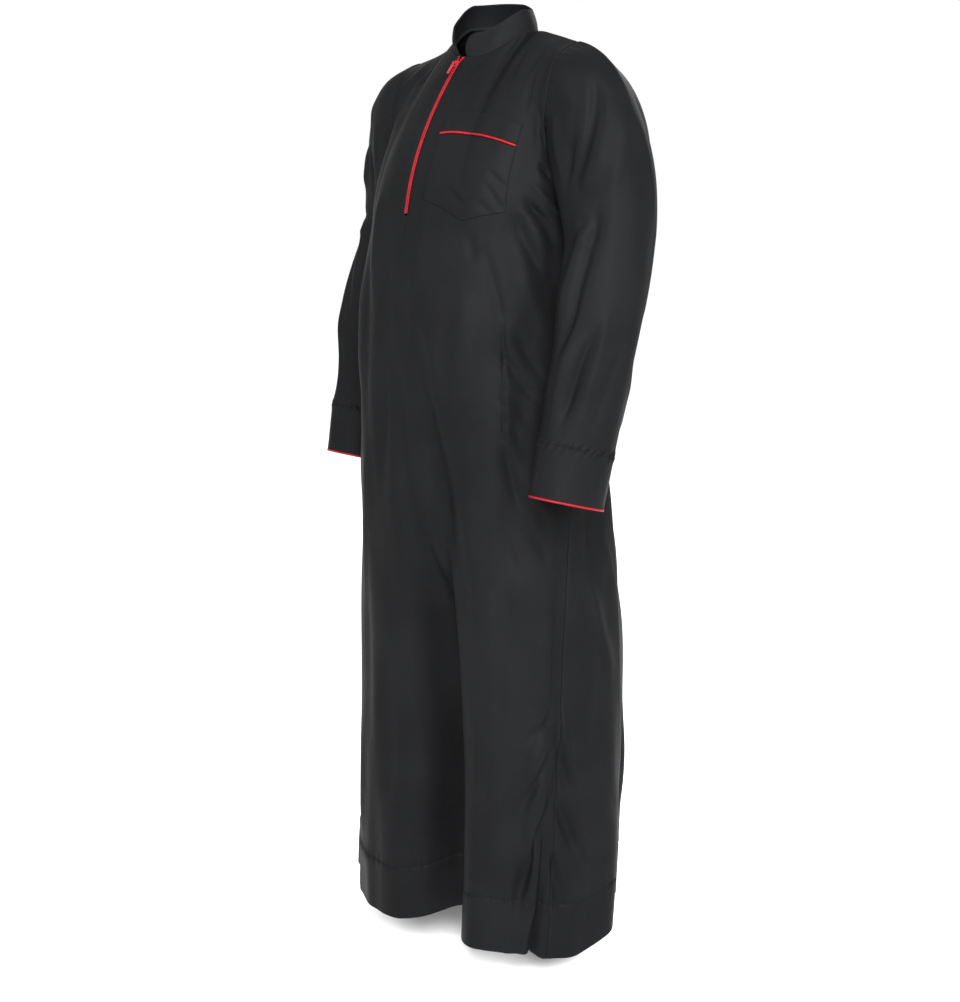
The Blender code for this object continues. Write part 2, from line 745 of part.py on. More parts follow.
def rod(radius, width, centre):
    """A cylinder along X as a bmesh."""
    made = bmesh.new()
    turn = Matrix.Translation(centre) @ Matrix.Rotation(np.pi / 2, 4, "Y")
    bmesh.ops.create_cone(
        made,
        cap_ends=True,
        segments=ROUND_SIDES,
        radius1=radius,
        radius2=radius,
        depth=width,
        matrix=turn,
    )
    return made


def add_solid(name, shape, painted):
    """An object of one material from a bmesh, which it frees."""
    mesh = bpy.data.meshes.new(name)
    shape.to_mesh(mesh)
    shape.free()
    mesh.materials.append(painted)
    mesh.shade_smooth()
    mesh.set_sharp_from_angle(angle=np.radians(35))
    made = bpy.data.objects.new(name, mesh)
    bpy.context.scene.collection.objects.link(made)
    return made


def cut_or_join(target, operation, shape):
    """Boolean of a helper shape with an object, the helper hidden."""
    name = f"{target.name}_{operation.lower()}_{len(target.modifiers)}"
    helper = add_solid(name, shape, target.data.materials[0])
    helper.hide_render = True
    helper.display_type = "WIRE"
    helper.parent = target
    step = target.modifiers.new(helper.name, "BOOLEAN")
    step.operation = operation
    step.solver = "EXACT"
    step.object = helper


def add_slider():
    """The slider near the zip's top, with its pull hinged on the pin between its lugs."""
    here, along, out = zip_place(SLIDER_DOWN)
    here = here + out * (ZIP_PROUD + SEAM_GAP)
    turn = Matrix((Vector((1, 0, 0)), Vector(-along), Vector(out))).transposed().to_4x4()
    frame = Matrix.Translation(here) @ turn
    body = box(SLIDER_SIZE, (0, 0, SLIDER_SIZE[2] / 2))
    slider = add_solid("zip_slider", body, material("zip_slider", RED_ENAMEL))
    lug_middle = PIN_HEIGHT + PIN_RADIUS - LUG_SIZE[2] / 2
    for side in (-1, 1):
        cut_or_join(slider, "UNION", box(LUG_SIZE, (side * LUG_X, 0, lug_middle)))
    pin = rod(PIN_RADIUS, 2 * LUG_X + LUG_SIZE[0] / 2, (0, 0, PIN_HEIGHT))
    cut_or_join(slider, "UNION", pin)
    slider.matrix_world = frame
    eye = rod(EYE_RADIUS, EYE_WIDTH, (0, 0, 0))
    pull = add_solid("zip_pull", eye, material("zip_pull", RED_ENAMEL))
    neck_y = -EYE_HOLE_RADIUS - NECK_SIZE[1] / 2 - NECK_CLEAR
    cut_or_join(pull, "UNION", box(NECK_SIZE, (0, neck_y, 0)))
    plate_y = neck_y - PULL_SIZE[1] / 2 - 2 * NECK_CLEAR
    cut_or_join(pull, "UNION", box(PULL_SIZE, (0, plate_y, 0)))
    hole = rod(EYE_HOLE_RADIUS, 3 * EYE_WIDTH, (0, 0, 0))
    cut_or_join(pull, "DIFFERENCE", hole)
    pull.matrix_world = frame @ Matrix.Translation((0, 0, PIN_HEIGHT))


def clear_scene():
    """Removes every object, so that the script can be run again."""
    for item in list(bpy.data.objects):
        bpy.data.objects.remove(item, do_unlink=True)


def main():
    clear_scene()
    add_garment()
    add_pocket()
    for side in (1, -1):
        add_cuff_piping(side)
    add_zip()
    add_slider()


main()
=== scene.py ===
"""Thobe: the cloth, trim and zip of a long black robe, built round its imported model.

Metres, +Z up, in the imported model's frame. The front faces -Y and the robe's own left is +X.

A place on a panel is (across, down). across runs from -1 at the right side seam to 1 at the left one.
down runs from 0 at the neck and shoulder seams to 1 at the armpits, and to 2 at the hem.
A place round the whole body is its girth: as across on the front, and 2 - across on the back.
A place on a sleeve is (turn, down). turn runs from 0 outside to 1, forwards. down runs from 0 at the
armhole to 1 at the biceps and 2 at the cuff.
"""

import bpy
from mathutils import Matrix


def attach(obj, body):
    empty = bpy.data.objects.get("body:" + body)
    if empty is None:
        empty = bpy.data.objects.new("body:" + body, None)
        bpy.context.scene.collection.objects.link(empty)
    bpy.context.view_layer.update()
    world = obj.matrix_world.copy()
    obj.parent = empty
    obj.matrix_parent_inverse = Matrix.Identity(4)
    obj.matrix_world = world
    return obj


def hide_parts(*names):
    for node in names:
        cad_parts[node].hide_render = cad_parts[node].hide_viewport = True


bl_info = {
    "name": "Thobe",
    "version": (1, 0, 0),
    "blender": (4, 5, 0),
    "location": "3D View > Sidebar > Thobe",
    "description": "Builds the cloth, trim and zip of a long black robe round its packed model",
    "category": "Object",
}

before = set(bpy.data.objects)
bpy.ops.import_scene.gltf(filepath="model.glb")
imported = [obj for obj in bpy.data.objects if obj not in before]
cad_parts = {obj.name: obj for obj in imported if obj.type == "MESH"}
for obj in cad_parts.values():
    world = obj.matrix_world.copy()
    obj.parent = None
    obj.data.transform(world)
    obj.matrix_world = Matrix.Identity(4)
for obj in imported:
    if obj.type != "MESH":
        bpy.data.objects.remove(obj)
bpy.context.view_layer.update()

from collections import namedtuple

import bmesh
import bpy
import numpy as np
from bpy.props import FloatProperty, FloatVectorProperty, PointerProperty
from mathutils import Matrix, Vector


def table(name, fields, rows, defaults=()):
    """Rows of numbers with named fields. defaults are those of the last fields."""
    kind = namedtuple(name, fields, defaults=defaults)
    return [kind(*row) for row in rows]


# The garment's form, as in its solids

CLOTH = 0.0016
SEAM_GAP = 0.0003
HEM_Z = -1.403
CHEST_Z = -0.285
NECK_HALF_WIDTH = 0.068
FRONT_NECK = (-0.072, -0.042)
BACK_NECK = (0.050, 0.002)
SHOULDER_POINT = (0.190, -0.008, -0.037)
SHOULDER_SAG = 0.003
NECK_SHARE = 1 / 3
COLLAR_HEIGHT = 0.033
COLLAR_LEAN = 0.12
COLLAR_CENTRE_Y = -0.016
COLLAR_END_RADIUS = 0.024
COLLAR_END_HEIGHT = 0.017
COLLAR_FLARE_REACH = 0.075
COLLAR_FLARE_LEFT = -0.004
COLLAR_FLARE_RIGHT = -0.016
SLIT_HALF = 0.0042
SLIT_SHARE = 1 / 15
ZIP_HALF = 0.0037
ZIP_PROUD = 0.0008
ZIP_ENDS_DOWN = (0.012, 0.960)
SLIT_END_DOWN = 0.963
SLIT_CLOSED_DOWN = 0.975
POCKET_LIFT = 0.0006
POCKET_CLOTH = 0.0014
PIPING = 0.0034

SECTIONS = table("Section", "z half_width front back side", [
    (-0.285, 0.2, -0.178, 0.1, -0.004),
    (-0.36, 0.2, -0.195, 0.102, -0.01),
    (-0.5, 0.205, -0.204, 0.108, -0.02),
    (-0.65, 0.211, -0.2, 0.128, -0.03),
    (-0.82, 0.222, -0.192, 0.156, -0.044),
    (-1.05, 0.232, -0.186, 0.176, -0.058),
    (-1.25, 0.234, -0.185, 0.175, -0.066),
    (-1.415, 0.232, -0.186, 0.168, -0.078),
])
SQUARENESS = 2.3

FRONT_ARMHOLE = table("Armhole", "share x y z", [
    (0, 0.19, -0.008, -0.037),
    (0.2, 0.192, -0.05, -0.06),
    (0.42, 0.191, -0.067, -0.11),
    (0.62, 0.188, -0.066, -0.165),
    (0.82, 0.192, -0.048, -0.228),
    (0.93, 0.197, -0.028, -0.266),
    (1, 0.2, -0.004, -0.285),
])
BACK_ARMHOLE = table("Armhole", "share x y z", [
    (0, 0.19, -0.008, -0.037),
    (0.2, 0.191, 0.03, -0.064),
    (0.42, 0.189, 0.056, -0.115),
    (0.62, 0.188, 0.064, -0.17),
    (0.82, 0.192, 0.05, -0.232),
    (0.93, 0.197, 0.026, -0.268),
    (1, 0.2, -0.004, -0.285),
])
ARMHOLE_PULL = 3.5

SLEEVE_RINGS = table("Ring", "z x y across along dip_out dip_back", [
    (-0.325, 0.279, -0.003, 0.065, 0.066, -0.35, 0.05),
    (-0.43, 0.293, -0.034, 0.062, 0.066, -0.1, 0.14),
    (-0.56, 0.29, -0.062, 0.053, 0.059, 0, 0.22),
    (-0.684, 0.286, -0.086, 0.048, 0.057, 0, 0.26),
])
LEFT_ARM_AHEAD = 0.018
LEFT_ARM_UP = 0.006

# Large folds, from place_top to place_bottom: girths on the body and turns on a sleeve. One that dies
# is deepest half way down.

FOLD = "place_top place_bottom z_top z_bottom width out dies"
FOLDS = table("Fold", FOLD, [
    (0.15, 0.17, -0.42, -1.415, 0.15, -0.08),
    (0.14, 0.44, -0.44, -1.02, 0.07, -0.013, True),
    (0.3, 0.36, -0.7, -1.415, 0.12, 0.016),
    (-0.28, -0.2, -0.6, -1.415, 0.16, 0.012),
    (-0.1, -0.16, -0.34, -0.8, 0.05, -0.008, True),
    (0.97, 0.99, -0.7, -1.2, 0.1, -0.014),
    (-0.97, -0.99, -0.7, -1.2, 0.1, -0.014),
    (0.92, 0.84, -1.04, -1.415, 0.07, -0.034),
    (-0.86, -0.86, -1.13, -1.36, 0.13, 0.024),
    (0.66, 0.7, -0.8, -1.415, 0.09, -0.012),
    (-0.62, -0.7, -0.6, -1.415, 0.1, -0.018),
    (1.22, 1.28, -0.6, -1.415, 0.1, 0.016),
    (1.5, 1.55, -0.75, -1.415, 0.1, -0.028),
    (1.8, 1.78, -0.45, -1.415, 0.12, 0.018),
    (2.04, 2.02, -0.8, -1.415, 0.12, -0.038),
    (2.22, 2.26, -0.45, -1.415, 0.12, 0.018),
    (2.5, 2.46, -0.7, -1.415, 0.1, -0.028),
    (2.76, 2.72, -0.6, -1.415, 0.1, 0.016),
    (1.64, 1.7, -0.12, -0.55, 0.1, -0.01, True),
    (2.36, 2.3, -0.12, -0.55, 0.1, -0.01, True),
], defaults=[False])
HEM_RISE = 0.20

# How much each part of the shoulders and neck lies above its even form, across the garment

SHOULDER_LEVELS = table("Level", "x rise", [
    (-0.19, -0.013), (-0.13, -0.011), (-0.068, 0.001), (0, 0),
    (0.068, -0.008), (0.1, 0.005), (0.14, 0.011), (0.19, 0.013),
])

# How far the hem stands above HEM_Z round its girth, before its folds

HEM_LEVELS = table("Level", "girth rise", [
    (-1, 0.026), (-0.5, 0.012), (0, 0.009), (0.4, 0.015), (0.7, 0.006), (0.95, -0.008),
    (1.12, -0.01), (1.3, 0.014), (1.6, 0.01), (2, 0.004), (2.5, 0.006), (3, 0.026),
])

SLEEVE_FOLDS = table("Fold", FOLD, [
    (0.2, 0.36, -0.36, -0.54, 0.08, -0.007, True),
    (0.16, 0.32, -0.46, -0.64, 0.08, -0.006, True),
    (0.9, 0.78, -0.34, -0.6, 0.09, -0.006, True),
])

POCKET_INNER_X = 0.037
POCKET_OUTER_X = 0.163
POCKET_POINT_X = 0.112
POCKET_TOP_Z = -0.1275
POCKET_BAND = 0.0285
POCKET_SIDE_Z = -0.252
POCKET_POINT_Z = -0.2795
POCKET_SLOPE = 0.125
POCKET_BOW = 0.0085

SLIDER_DOWN = 0.07
SLIDER_SIZE = (0.0090, 0.0110, 0.0026)
LUG_X = 0.0029
LUG_SIZE = (0.0012, 0.0036)
PIN_RADIUS = 0.0006
PIN_HEIGHT = 0.0050
EYE_RADIUS = 0.0019
EYE_HOLE_RADIUS = 0.0010
EYE_WIDTH = 0.0034
PULL_SIZE = (0.0056, 0.0190, 0.0012)

# Creases that only the cloth here has. Each runs from a by way of b to c, places of girth on the body
# and of turn on a sleeve. Its width and how far it stands out are in metres. lean, where it has one,
# raises its one side and lowers the other, which makes a drag line.

CREASE = "at_a z_a at_b z_b at_c z_c width out lean"
BODY_CREASES = table("Crease", CREASE, [
    # front below the chest, and the folds that fall from there
    (-0.02, -0.32, 0.04, -0.4, 0.02, -0.57, 0.018, -0.0045),
    (0.22, -0.36, 0.15, -0.44, 0.28, -0.565, 0.018, -0.005, 0.001),
    (0.19, -0.34, 0.11, -0.415, 0.11, -0.53, 0.015, 0.003),
    (0.13, -0.445, 0.175, -0.5, 0.235, -0.57, 0.013, 0.0035),
    (0.315, -0.42, 0.31, -0.51, 0.295, -0.585, 0.019, -0.0045),
    (0.4, -0.365, 0.395, -0.44, 0.43, -0.535, 0.024, 0.0045),
    (0.475, -0.31, 0.56, -0.375, 0.605, -0.435, 0.008, -0.0034, 0.001),
    # skirt, on the front
    (-0.02, -0.44, 0.02, -0.62, 0.08, -0.96, 0.024, -0.01),
    (0.11, -0.76, 0.165, -1.06, 0.185, -1.5, 0.036, -0.046),
    (0.11, -0.6, 0.15, -0.74, 0.19, -0.9, 0.016, 0.0055),
    (0.06, -0.4, 0.19, -0.62, 0.22, -1.06, 0.03, -0.013),
    (0.42, -0.62, 0.42, -0.8, 0.42, -1.05, 0.03, 0.005),
    (0.5, -0.8, 0.5, -0.98, 0.49, -1.24, 0.026, 0.004),
    (0.59, -0.8, 0.62, -0.88, 0.64, -0.98, 0.02, -0.0035),
    # front, on the right
    (-0.2, -0.25, -0.265, -0.305, -0.17, -0.45, 0.014, 0.0035),
    (-0.43, -0.335, -0.405, -0.46, -0.385, -0.57, 0.016, 0.0045),
    (-0.15, -0.27, -0.08, -0.42, -0.05, -0.62, 0.016, -0.0035),
    (-0.34, -0.3, -0.3, -0.44, -0.27, -0.66, 0.014, -0.004),
    (-0.26, -0.6, -0.31, -0.76, -0.34, -0.98, 0.018, 0.005),
    (-0.12, -0.92, -0.13, -1.06, -0.14, -1.3, 0.02, -0.006),
    (-0.32, -1.02, -0.36, -1.18, -0.4, -1.36, 0.018, 0.004),
    (-0.5, -0.66, -0.53, -0.94, -0.52, -1.28, 0.018, -0.006, 0.001),
    # shoulders
    (0.58, -0.03, 0.56, -0.058, 0.55, -0.085, 0.007, -0.0018, 0.001),
    (0.8, -0.033, 0.745, -0.052, 0.64, -0.087, 0.007, -0.002, 0.001),
    (0.795, -0.051, 0.755, -0.094, 0.73, -0.137, 0.009, -0.0022, 0.001),
    (0.845, -0.105, 0.91, -0.144, 0.945, -0.18, 0.009, -0.0026),
    (0.18, -0.041, 0.13, -0.072, 0.125, -0.09, 0.006, -0.0016, 0.001),
    (-0.38, -0.049, -0.49, -0.07, -0.53, -0.095, 0.007, -0.002, 0.001),
    (-0.52, -0.052, -0.66, -0.085, -0.78, -0.125, 0.008, -0.0022, 0.001),
    (-0.66, -0.05, -0.8, -0.08, -0.93, -0.11, 0.009, 0.0024),
    (-0.3, -0.095, -0.52, -0.13, -0.7, -0.175, 0.012, 0.002, 0.001),
    # on and under the chest pocket
    (0.38, -0.29, 0.43, -0.317, 0.45, -0.34, 0.008, -0.003, 0.001),
    (0.22, -0.228, 0.33, -0.247, 0.38, -0.262, 0.007, -0.0014, 0.001),
    (0.42, -0.25, 0.47, -0.262, 0.52, -0.272, 0.006, -0.002),
    (0.47, -0.222, 0.535, -0.25, 0.57, -0.269, 0.006, -0.0022, 0.001),
    (0.495, -0.205, 0.54, -0.221, 0.615, -0.236, 0.006, -0.0022, 0.001),
    (0.33, -0.31, 0.4, -0.4, 0.43, -0.5, 0.018, 0.0025),
    # drag lines towards the armpit
    (0.795, -0.2, 0.885, -0.207, 0.945, -0.22, 0.008, -0.006, 0.002),
    (0.69, -0.243, 0.76, -0.276, 0.88, -0.325, 0.009, -0.01, 0.003),
    (0.59, -0.26, 0.71, -0.319, 0.81, -0.366, 0.009, -0.009, 0.003),
    (0.7, -0.218, 0.8, -0.246, 0.92, -0.28, 0.009, 0.005),
    (0.62, -0.247, 0.73, -0.297, 0.84, -0.342, 0.007, 0.003),
    (0.78, -0.33, 0.89, -0.4, 0.88, -0.54, 0.018, -0.0085),
    (0.63, -0.345, 0.76, -0.405, 0.84, -0.49, 0.016, 0.005),
    # beside and under the side pocket
    (0.575, -0.44, 0.68, -0.506, 0.81, -0.547, 0.009, -0.0085, 0.002),
    (0.645, -0.433, 0.735, -0.476, 0.83, -0.516, 0.007, -0.006, 0.001),
    (0.63, -0.49, 0.72, -0.53, 0.81, -0.59, 0.012, 0.0035),
    (0.64, -0.529, 0.69, -0.552, 0.735, -0.572, 0.006, -0.003),
    (0.64, -0.562, 0.665, -0.585, 0.69, -0.602, 0.006, -0.003),
    (0.61, -0.6, 0.64, -0.651, 0.7, -0.714, 0.011, -0.008, 0.001),
    (0.68, -0.712, 0.8, -0.758, 0.87, -0.782, 0.01, -0.004, 0.001),
    (0.585, -0.742, 0.635, -0.777, 0.68, -0.81, 0.01, -0.0026),
    (0.65, -0.63, 0.78, -0.69, 0.93, -0.735, 0.012, 0.004, 0.001),
    # skirt, on the left
    (0.86, -0.82, 0.84, -0.92, 0.86, -1.01, 0.02, 0.003),
    (0.95, -1.02, 0.82, -1.035, 0.68, -1.062, 0.008, -0.009, 0.003),
    (0.95, -1.052, 0.82, -1.068, 0.66, -1.108, 0.009, 0.0055),
    (0.96, -1.085, 0.8, -1.118, 0.66, -1.175, 0.01, -0.0105, 0.003),
    (0.96, -1.16, 0.77, -1.24, 0.65, -1.355, 0.017, -0.0125, 0.003),
    (0.96, -1.215, 0.86, -1.285, 0.77, -1.375, 0.014, 0.005),
    # side of the back, on the left
    (1.11, -0.795, 1.175, -0.883, 1.29, -0.995, 0.013, 0.0062, 0.002),
    (1.26, -0.765, 1.3, -0.815, 1.34, -0.87, 0.012, 0.0038),
    (0.975, -1.015, 1.06, -1.105, 1.15, -1.31, 0.01, 0.0075),
    (1, -1.06, 1.03, -1.11, 1.08, -1.155, 0.008, -0.006, 0.002),
    (1, -1.14, 1.055, -1.2, 1.13, -1.26, 0.009, -0.01, 0.003),
    (0.98, -1.228, 1.02, -1.283, 1.08, -1.365, 0.009, -0.0085, 0.002),
    (1.04, -1.06, 1.18, -1.12, 1.34, -1.23, 0.016, -0.004, 0.001),
    (1.08, -0.64, 1.16, -0.76, 1.2, -0.9, 0.016, -0.0045),
    (1.06, -0.3, 1.16, -0.42, 1.2, -0.58, 0.014, 0.0045, 0.001),
    (1.05, -0.33, 1.28, -0.4, 1.48, -0.52, 0.014, -0.0045, 0.001),
    # back
    (1.14, -0.24, 1.34, -0.28, 1.56, -0.37, 0.013, -0.0045, 0.001),
    (1.22, -0.18, 1.4, -0.22, 1.66, -0.3, 0.015, 0.0035),
    (2.86, -0.24, 2.68, -0.29, 2.44, -0.37, 0.013, -0.0045, -0.001),
    (2.78, -0.17, 2.58, -0.22, 2.36, -0.31, 0.015, 0.0035),
    (1.62, -0.06, 2, -0.08, 2.38, -0.062, 0.014, -0.002),
    (1.72, -0.36, 1.76, -0.52, 1.72, -0.74, 0.018, 0.0055),
    (2, -0.34, 1.96, -0.52, 2, -0.74, 0.022, -0.0065),
    (2.26, -0.38, 2.22, -0.54, 2.28, -0.74, 0.018, 0.005),
    (1.44, -0.56, 1.6, -0.62, 1.8, -0.7, 0.014, -0.004, 0.001),
    (2.58, -0.54, 2.42, -0.62, 2.2, -0.68, 0.014, -0.004, -0.001),
    (1.4, -0.62, 1.36, -0.9, 1.4, -1.28, 0.018, 0.006),
    (1.66, -0.8, 1.68, -1.02, 1.64, -1.36, 0.016, 0.006),
    (1.92, -0.92, 1.9, -1.14, 1.9, -1.37, 0.014, 0.0055),
    (2.14, -0.9, 2.15, -1.12, 2.14, -1.36, 0.014, 0.0055),
    (2.36, -0.78, 2.38, -1, 2.36, -1.34, 0.016, 0.0055),
    (2.62, -0.6, 2.64, -0.88, 2.62, -1.26, 0.018, 0.006),
    # right side, much as the left
    (-0.8, -0.205, -0.88, -0.214, -0.945, -0.228, 0.008, -0.004, -0.001),
    (-0.68, -0.248, -0.77, -0.284, -0.89, -0.335, 0.01, -0.0066, -0.002),
    (-0.58, -0.27, -0.7, -0.326, -0.82, -0.38, 0.01, -0.006, -0.002),
    (-0.66, -0.222, -0.79, -0.256, -0.92, -0.292, 0.01, 0.004),
    (-0.76, -0.33, -0.89, -0.4, -0.88, -0.55, 0.018, -0.008),
    (-0.62, -0.355, -0.75, -0.415, -0.84, -0.5, 0.016, 0.0045),
    (-0.59, -0.435, -0.7, -0.5, -0.82, -0.56, 0.011, -0.0055, -0.001),
    (-0.6, -0.6, -0.66, -0.665, -0.74, -0.73, 0.012, -0.0052, -0.001),
    (-0.66, -0.64, -0.78, -0.7, -0.92, -0.745, 0.013, 0.0032, -0.001),
    (-0.93, -1.02, -0.8, -1.09, -0.66, -1.2, 0.014, -0.007, -0.002),
    (-0.95, -1.09, -0.86, -1.18, -0.74, -1.3, 0.014, 0.005),
    (-0.8, -0.76, -0.78, -0.9, -0.82, -1.04, 0.018, 0.004),
    (2.97, -0.76, 2.88, -0.9, 2.74, -1.04, 0.013, 0.006, -0.002),
    (2.95, -1.04, 2.9, -1.18, 2.84, -1.34, 0.012, 0.0055),
    (2.94, -0.34, 2.76, -0.42, 2.56, -0.54, 0.014, -0.0045, -0.001),
    (2.92, -0.6, 2.84, -0.74, 2.8, -0.92, 0.016, -0.0045),
], defaults=[0.0])

SLEEVE_CREASES = table("Crease", CREASE, [
    # sleeve head, beside the armhole seam
    (0.065, -0.065, 0.14, -0.14, 0.25, -0.24, 0.008, -0.0095, 0.002),
    (0.12, -0.08, 0.215, -0.164, 0.29, -0.246, 0.008, -0.007, 0.001),
    (0.13, -0.082, 0.18, -0.13, 0.245, -0.192, 0.008, 0.005),
    (0.215, -0.12, 0.265, -0.164, 0.285, -0.236, 0.008, 0.003),
    (0.105, -0.145, 0.16, -0.2, 0.22, -0.236, 0.015, 0.0055),
    (0.02, -0.11, 0.07, -0.18, 0.13, -0.26, 0.014, 0.0035),
    (0.95, -0.08, 0.9, -0.15, 0.82, -0.23, 0.012, -0.004),
    (0.99, -0.11, 0.95, -0.2, 0.9, -0.3, 0.014, 0.004),
    (0.86, -0.11, 0.8, -0.16, 0.74, -0.23, 0.01, 0.004),
    # fans out of the armpit
    (0.245, -0.288, 0.195, -0.278, 0.135, -0.268, 0.008, -0.0034, 0.001),
    (0.25, -0.3, 0.2, -0.306, 0.15, -0.322, 0.009, 0.003),
    (0.7, -0.29, 0.76, -0.3, 0.84, -0.33, 0.01, -0.004),
    (0.68, -0.32, 0.74, -0.35, 0.8, -0.4, 0.01, 0.0035),
    # elbow and forearm
    (0.145, -0.23, 0.21, -0.35, 0.285, -0.49, 0.012, -0.0105, 0.003),
    (0.105, -0.412, 0.165, -0.49, 0.212, -0.588, 0.012, -0.01, 0.002),
    (0.18, -0.41, 0.228, -0.49, 0.262, -0.575, 0.012, 0.0045),
    (0.075, -0.37, 0.092, -0.467, 0.117, -0.575, 0.014, 0.005),
    (0.19, -0.255, 0.255, -0.34, 0.31, -0.44, 0.012, 0.004),
    (0.99, -0.42, 0.02, -0.5, 0.06, -0.59, 0.013, -0.0035),
    (0.88, -0.4, 0.82, -0.47, 0.72, -0.54, 0.012, -0.0055, 0.001),
    (0.9, -0.47, 0.84, -0.54, 0.76, -0.6, 0.012, 0.0045),
    (0.56, -0.44, 0.64, -0.48, 0.7, -0.53, 0.012, -0.0045),
    (0.46, -0.36, 0.48, -0.43, 0.46, -0.52, 0.014, -0.004),
], defaults=[0.0])

# Slow unevenness of hanging cloth: wave lengths round and down it, and how far it stands out

WAVES = table("Wave", "wide tall phase out", [
    (0.085, 0.93, 0.4, 0.001),
    (0.057, -0.81, 2.1, 0.0006),
    (0.036, 0.75, 4, 0.0003),
    (0.148, -0.62, 1.2, 0.0012),
    (-0.101, 0.47, 5.3, 0.0006),
])

# Sewing

HEM_DEPTH = 0.085
CUFF_DEPTH = 0.085
SLIT_GIRTH = 0.607
SLIT_TOP_Z = -0.432
SLIT_BOTTOM_Z = -0.595
PUCKER = 0.0125
ZIP_SEAM_DOWN = 1.075
FALL_OPEN = 0.0048
FALL_REACH = 0.20
ALLOWANCE = 0.0045
WEAR_REACH = 0.0025
THREAD_RADIUS = 0.00028
THREAD_LIFT = 0.0001
CUFF_EDGE_INSET = 0.0022
COLLAR_INSET = 0.0035
POCKET_INSET = 0.0022
ZIP_STITCH_ACROSS = 0.0575
SLIT_STITCH_OFFS = (0.0045, 0.0065)

# The relief of the sewing: how far it stands out or in, and how far it reaches

SIDE_SEAM = (0.00176, 0.0020)
TOP_SEAM = (0.0011, 0.0022)
UNDERARM_SEAM = (0.0007, 0.0018)
ZIP_SEAM = (0.0009, 0.0016)
SLIT_GROOVE = (0.0030, 0.0022)
SLIT_LIP = 0.0014
SLIT_EDGE = 0.0007
STITCH_GROOVE = 0.0008
HEM_FOLD = (0.0006, 0.0025)
CUFF_FOLD = (0.0005, 0.0022)
SIDE_PUCKERS = (0.0007, 0.010)
HEM_PUCKERS = (0.0012, 0.011)
ZIP_PUCKERS = (0.0003, 0.004)
SLIT_PUCKERS = (0.0028, 0.011)
CAP_PUCKERS = (0.0008, 0.010)
CUFF_PUCKERS = (0.0020, 0.008)

# The front bends where its ribs meet the first section, and the cloth rounds that off

CHEST_BEND = 0.177
CHEST_ROUND = 0.035

# Metres along the cloth: from the shoulder seam to the armpits, down the front's middle to the same
# level, over a sleeve's cap, and from there to its cuff

UPPER_LENGTH = 0.30
CENTRE_LENGTH = 0.27
CAP_LENGTH = 0.25
ARM_LENGTH = 0.40

# How many rows and columns of points the cloth has before more are added at its seams

UPPER_ROWS, SKIRT_ROWS, HALF_COLUMNS = 66, 138, 74
CAP_ROWS, ARM_ROWS, SLEEVE_COLUMNS = 52, 84, 148


def hermite(start, end, leave, arrive, share):
    """Points on a cubic from start to end, with its slopes at both."""
    return (
        (2 * share**3 - 3 * share**2 + 1) * start
        + (share**3 - 2 * share**2 + share) * leave
        + (3 * share**2 - 2 * share**3) * end
        + (share**3 - share**2) * arrive
    )


def smooth(rows, at):
    """Values at places on the smooth curve through a table's rows, whose first column is the place."""
    columns = np.array(sorted(rows))
    knots, values = columns[:, 0], columns[:, 1:]
    at = np.clip(at, knots[0], knots[-1])
    slopes = np.gradient(values, knots, axis=0)
    first = np.clip(np.searchsorted(knots, at) - 1, 0, len(knots) - 2)
    step = (knots[1:] - knots[:-1])[first][..., None]
    share = (at - knots[first])[..., None] / step
    return hermite(values[first], values[first + 1], slopes[first] * step, slopes[first + 1] * step, share)


def ease(value, low, high):
    """0 below low, 1 above high, and a smooth step between them. high may be the lower one."""
    share = np.clip((value - low) / (high - low), 0, 1)
    return share * share * (3 - 2 * share)


def stack(x, y, z):
    """Points from three arrays of coordinates."""
    return np.stack(np.broadcast_arrays(x, y, z), axis=-1)


def length(vectors):
    """Lengths of vectors, as a last axis of one."""
    return np.linalg.norm(vectors, axis=-1, keepdims=True)


def ridge(off, width):
    """1 on a line, dying out to both sides of it."""
    return np.exp(-((off / width) ** 2))


def wrapped(place, whole_turn):
    """A place round something as the shortest way to it from 0."""
    return (place + whole_turn / 2) % whole_turn - whole_turn / 2


def places(across, down):
    """The two coordinates of places as arrays of one shape."""
    return np.broadcast_arrays(np.asarray(across, float), np.asarray(down, float))


def section(face, share, z):
    """Where a panel's left half lies at a height. face is -1 on the front and 1 on the back."""
    half, front, back, side = np.moveaxis(smooth(SECTIONS, z), -1, 0)
    turn = share * np.pi / 2
    reach = (np.sin(turn) ** SQUARENESS + np.abs(np.cos(turn)) ** SQUARENESS) ** (-1 / SQUARENESS)
    centre = front if face < 0 else back
    return stack(half * reach * np.sin(turn), side + (centre - side) * reach * np.cos(turn), z)


def top_edge(face, share):
    """The neck seam and then the shoulder seam of a panel's left half."""
    y, z = FRONT_NECK if face < 0 else BACK_NECK
    turn = np.clip(share / NECK_SHARE, 0, 1) * np.pi / 2
    ahead = np.clip(np.cos(turn), 0, 1)
    neck = stack(NECK_HALF_WIDTH * np.sin(turn), y * ahead, z * ahead**1.4)
    along = np.clip((share - NECK_SHARE) / (1 - NECK_SHARE), 0, 1)[..., None]
    side_neck = np.array([NECK_HALF_WIDTH, 0, 0])
    sag = np.array([0, 0, -SHOULDER_SAG]) * np.sin(np.pi * along)
    shoulder = side_neck + along * (np.array(SHOULDER_POINT) - side_neck) + sag
    return np.where(share[..., None] < NECK_SHARE, neck, shoulder)


def armhole(face, down):
    """The left armhole seam on the front or the back."""
    return smooth(FRONT_ARMHOLE if face < 0 else BACK_ARMHOLE, down)


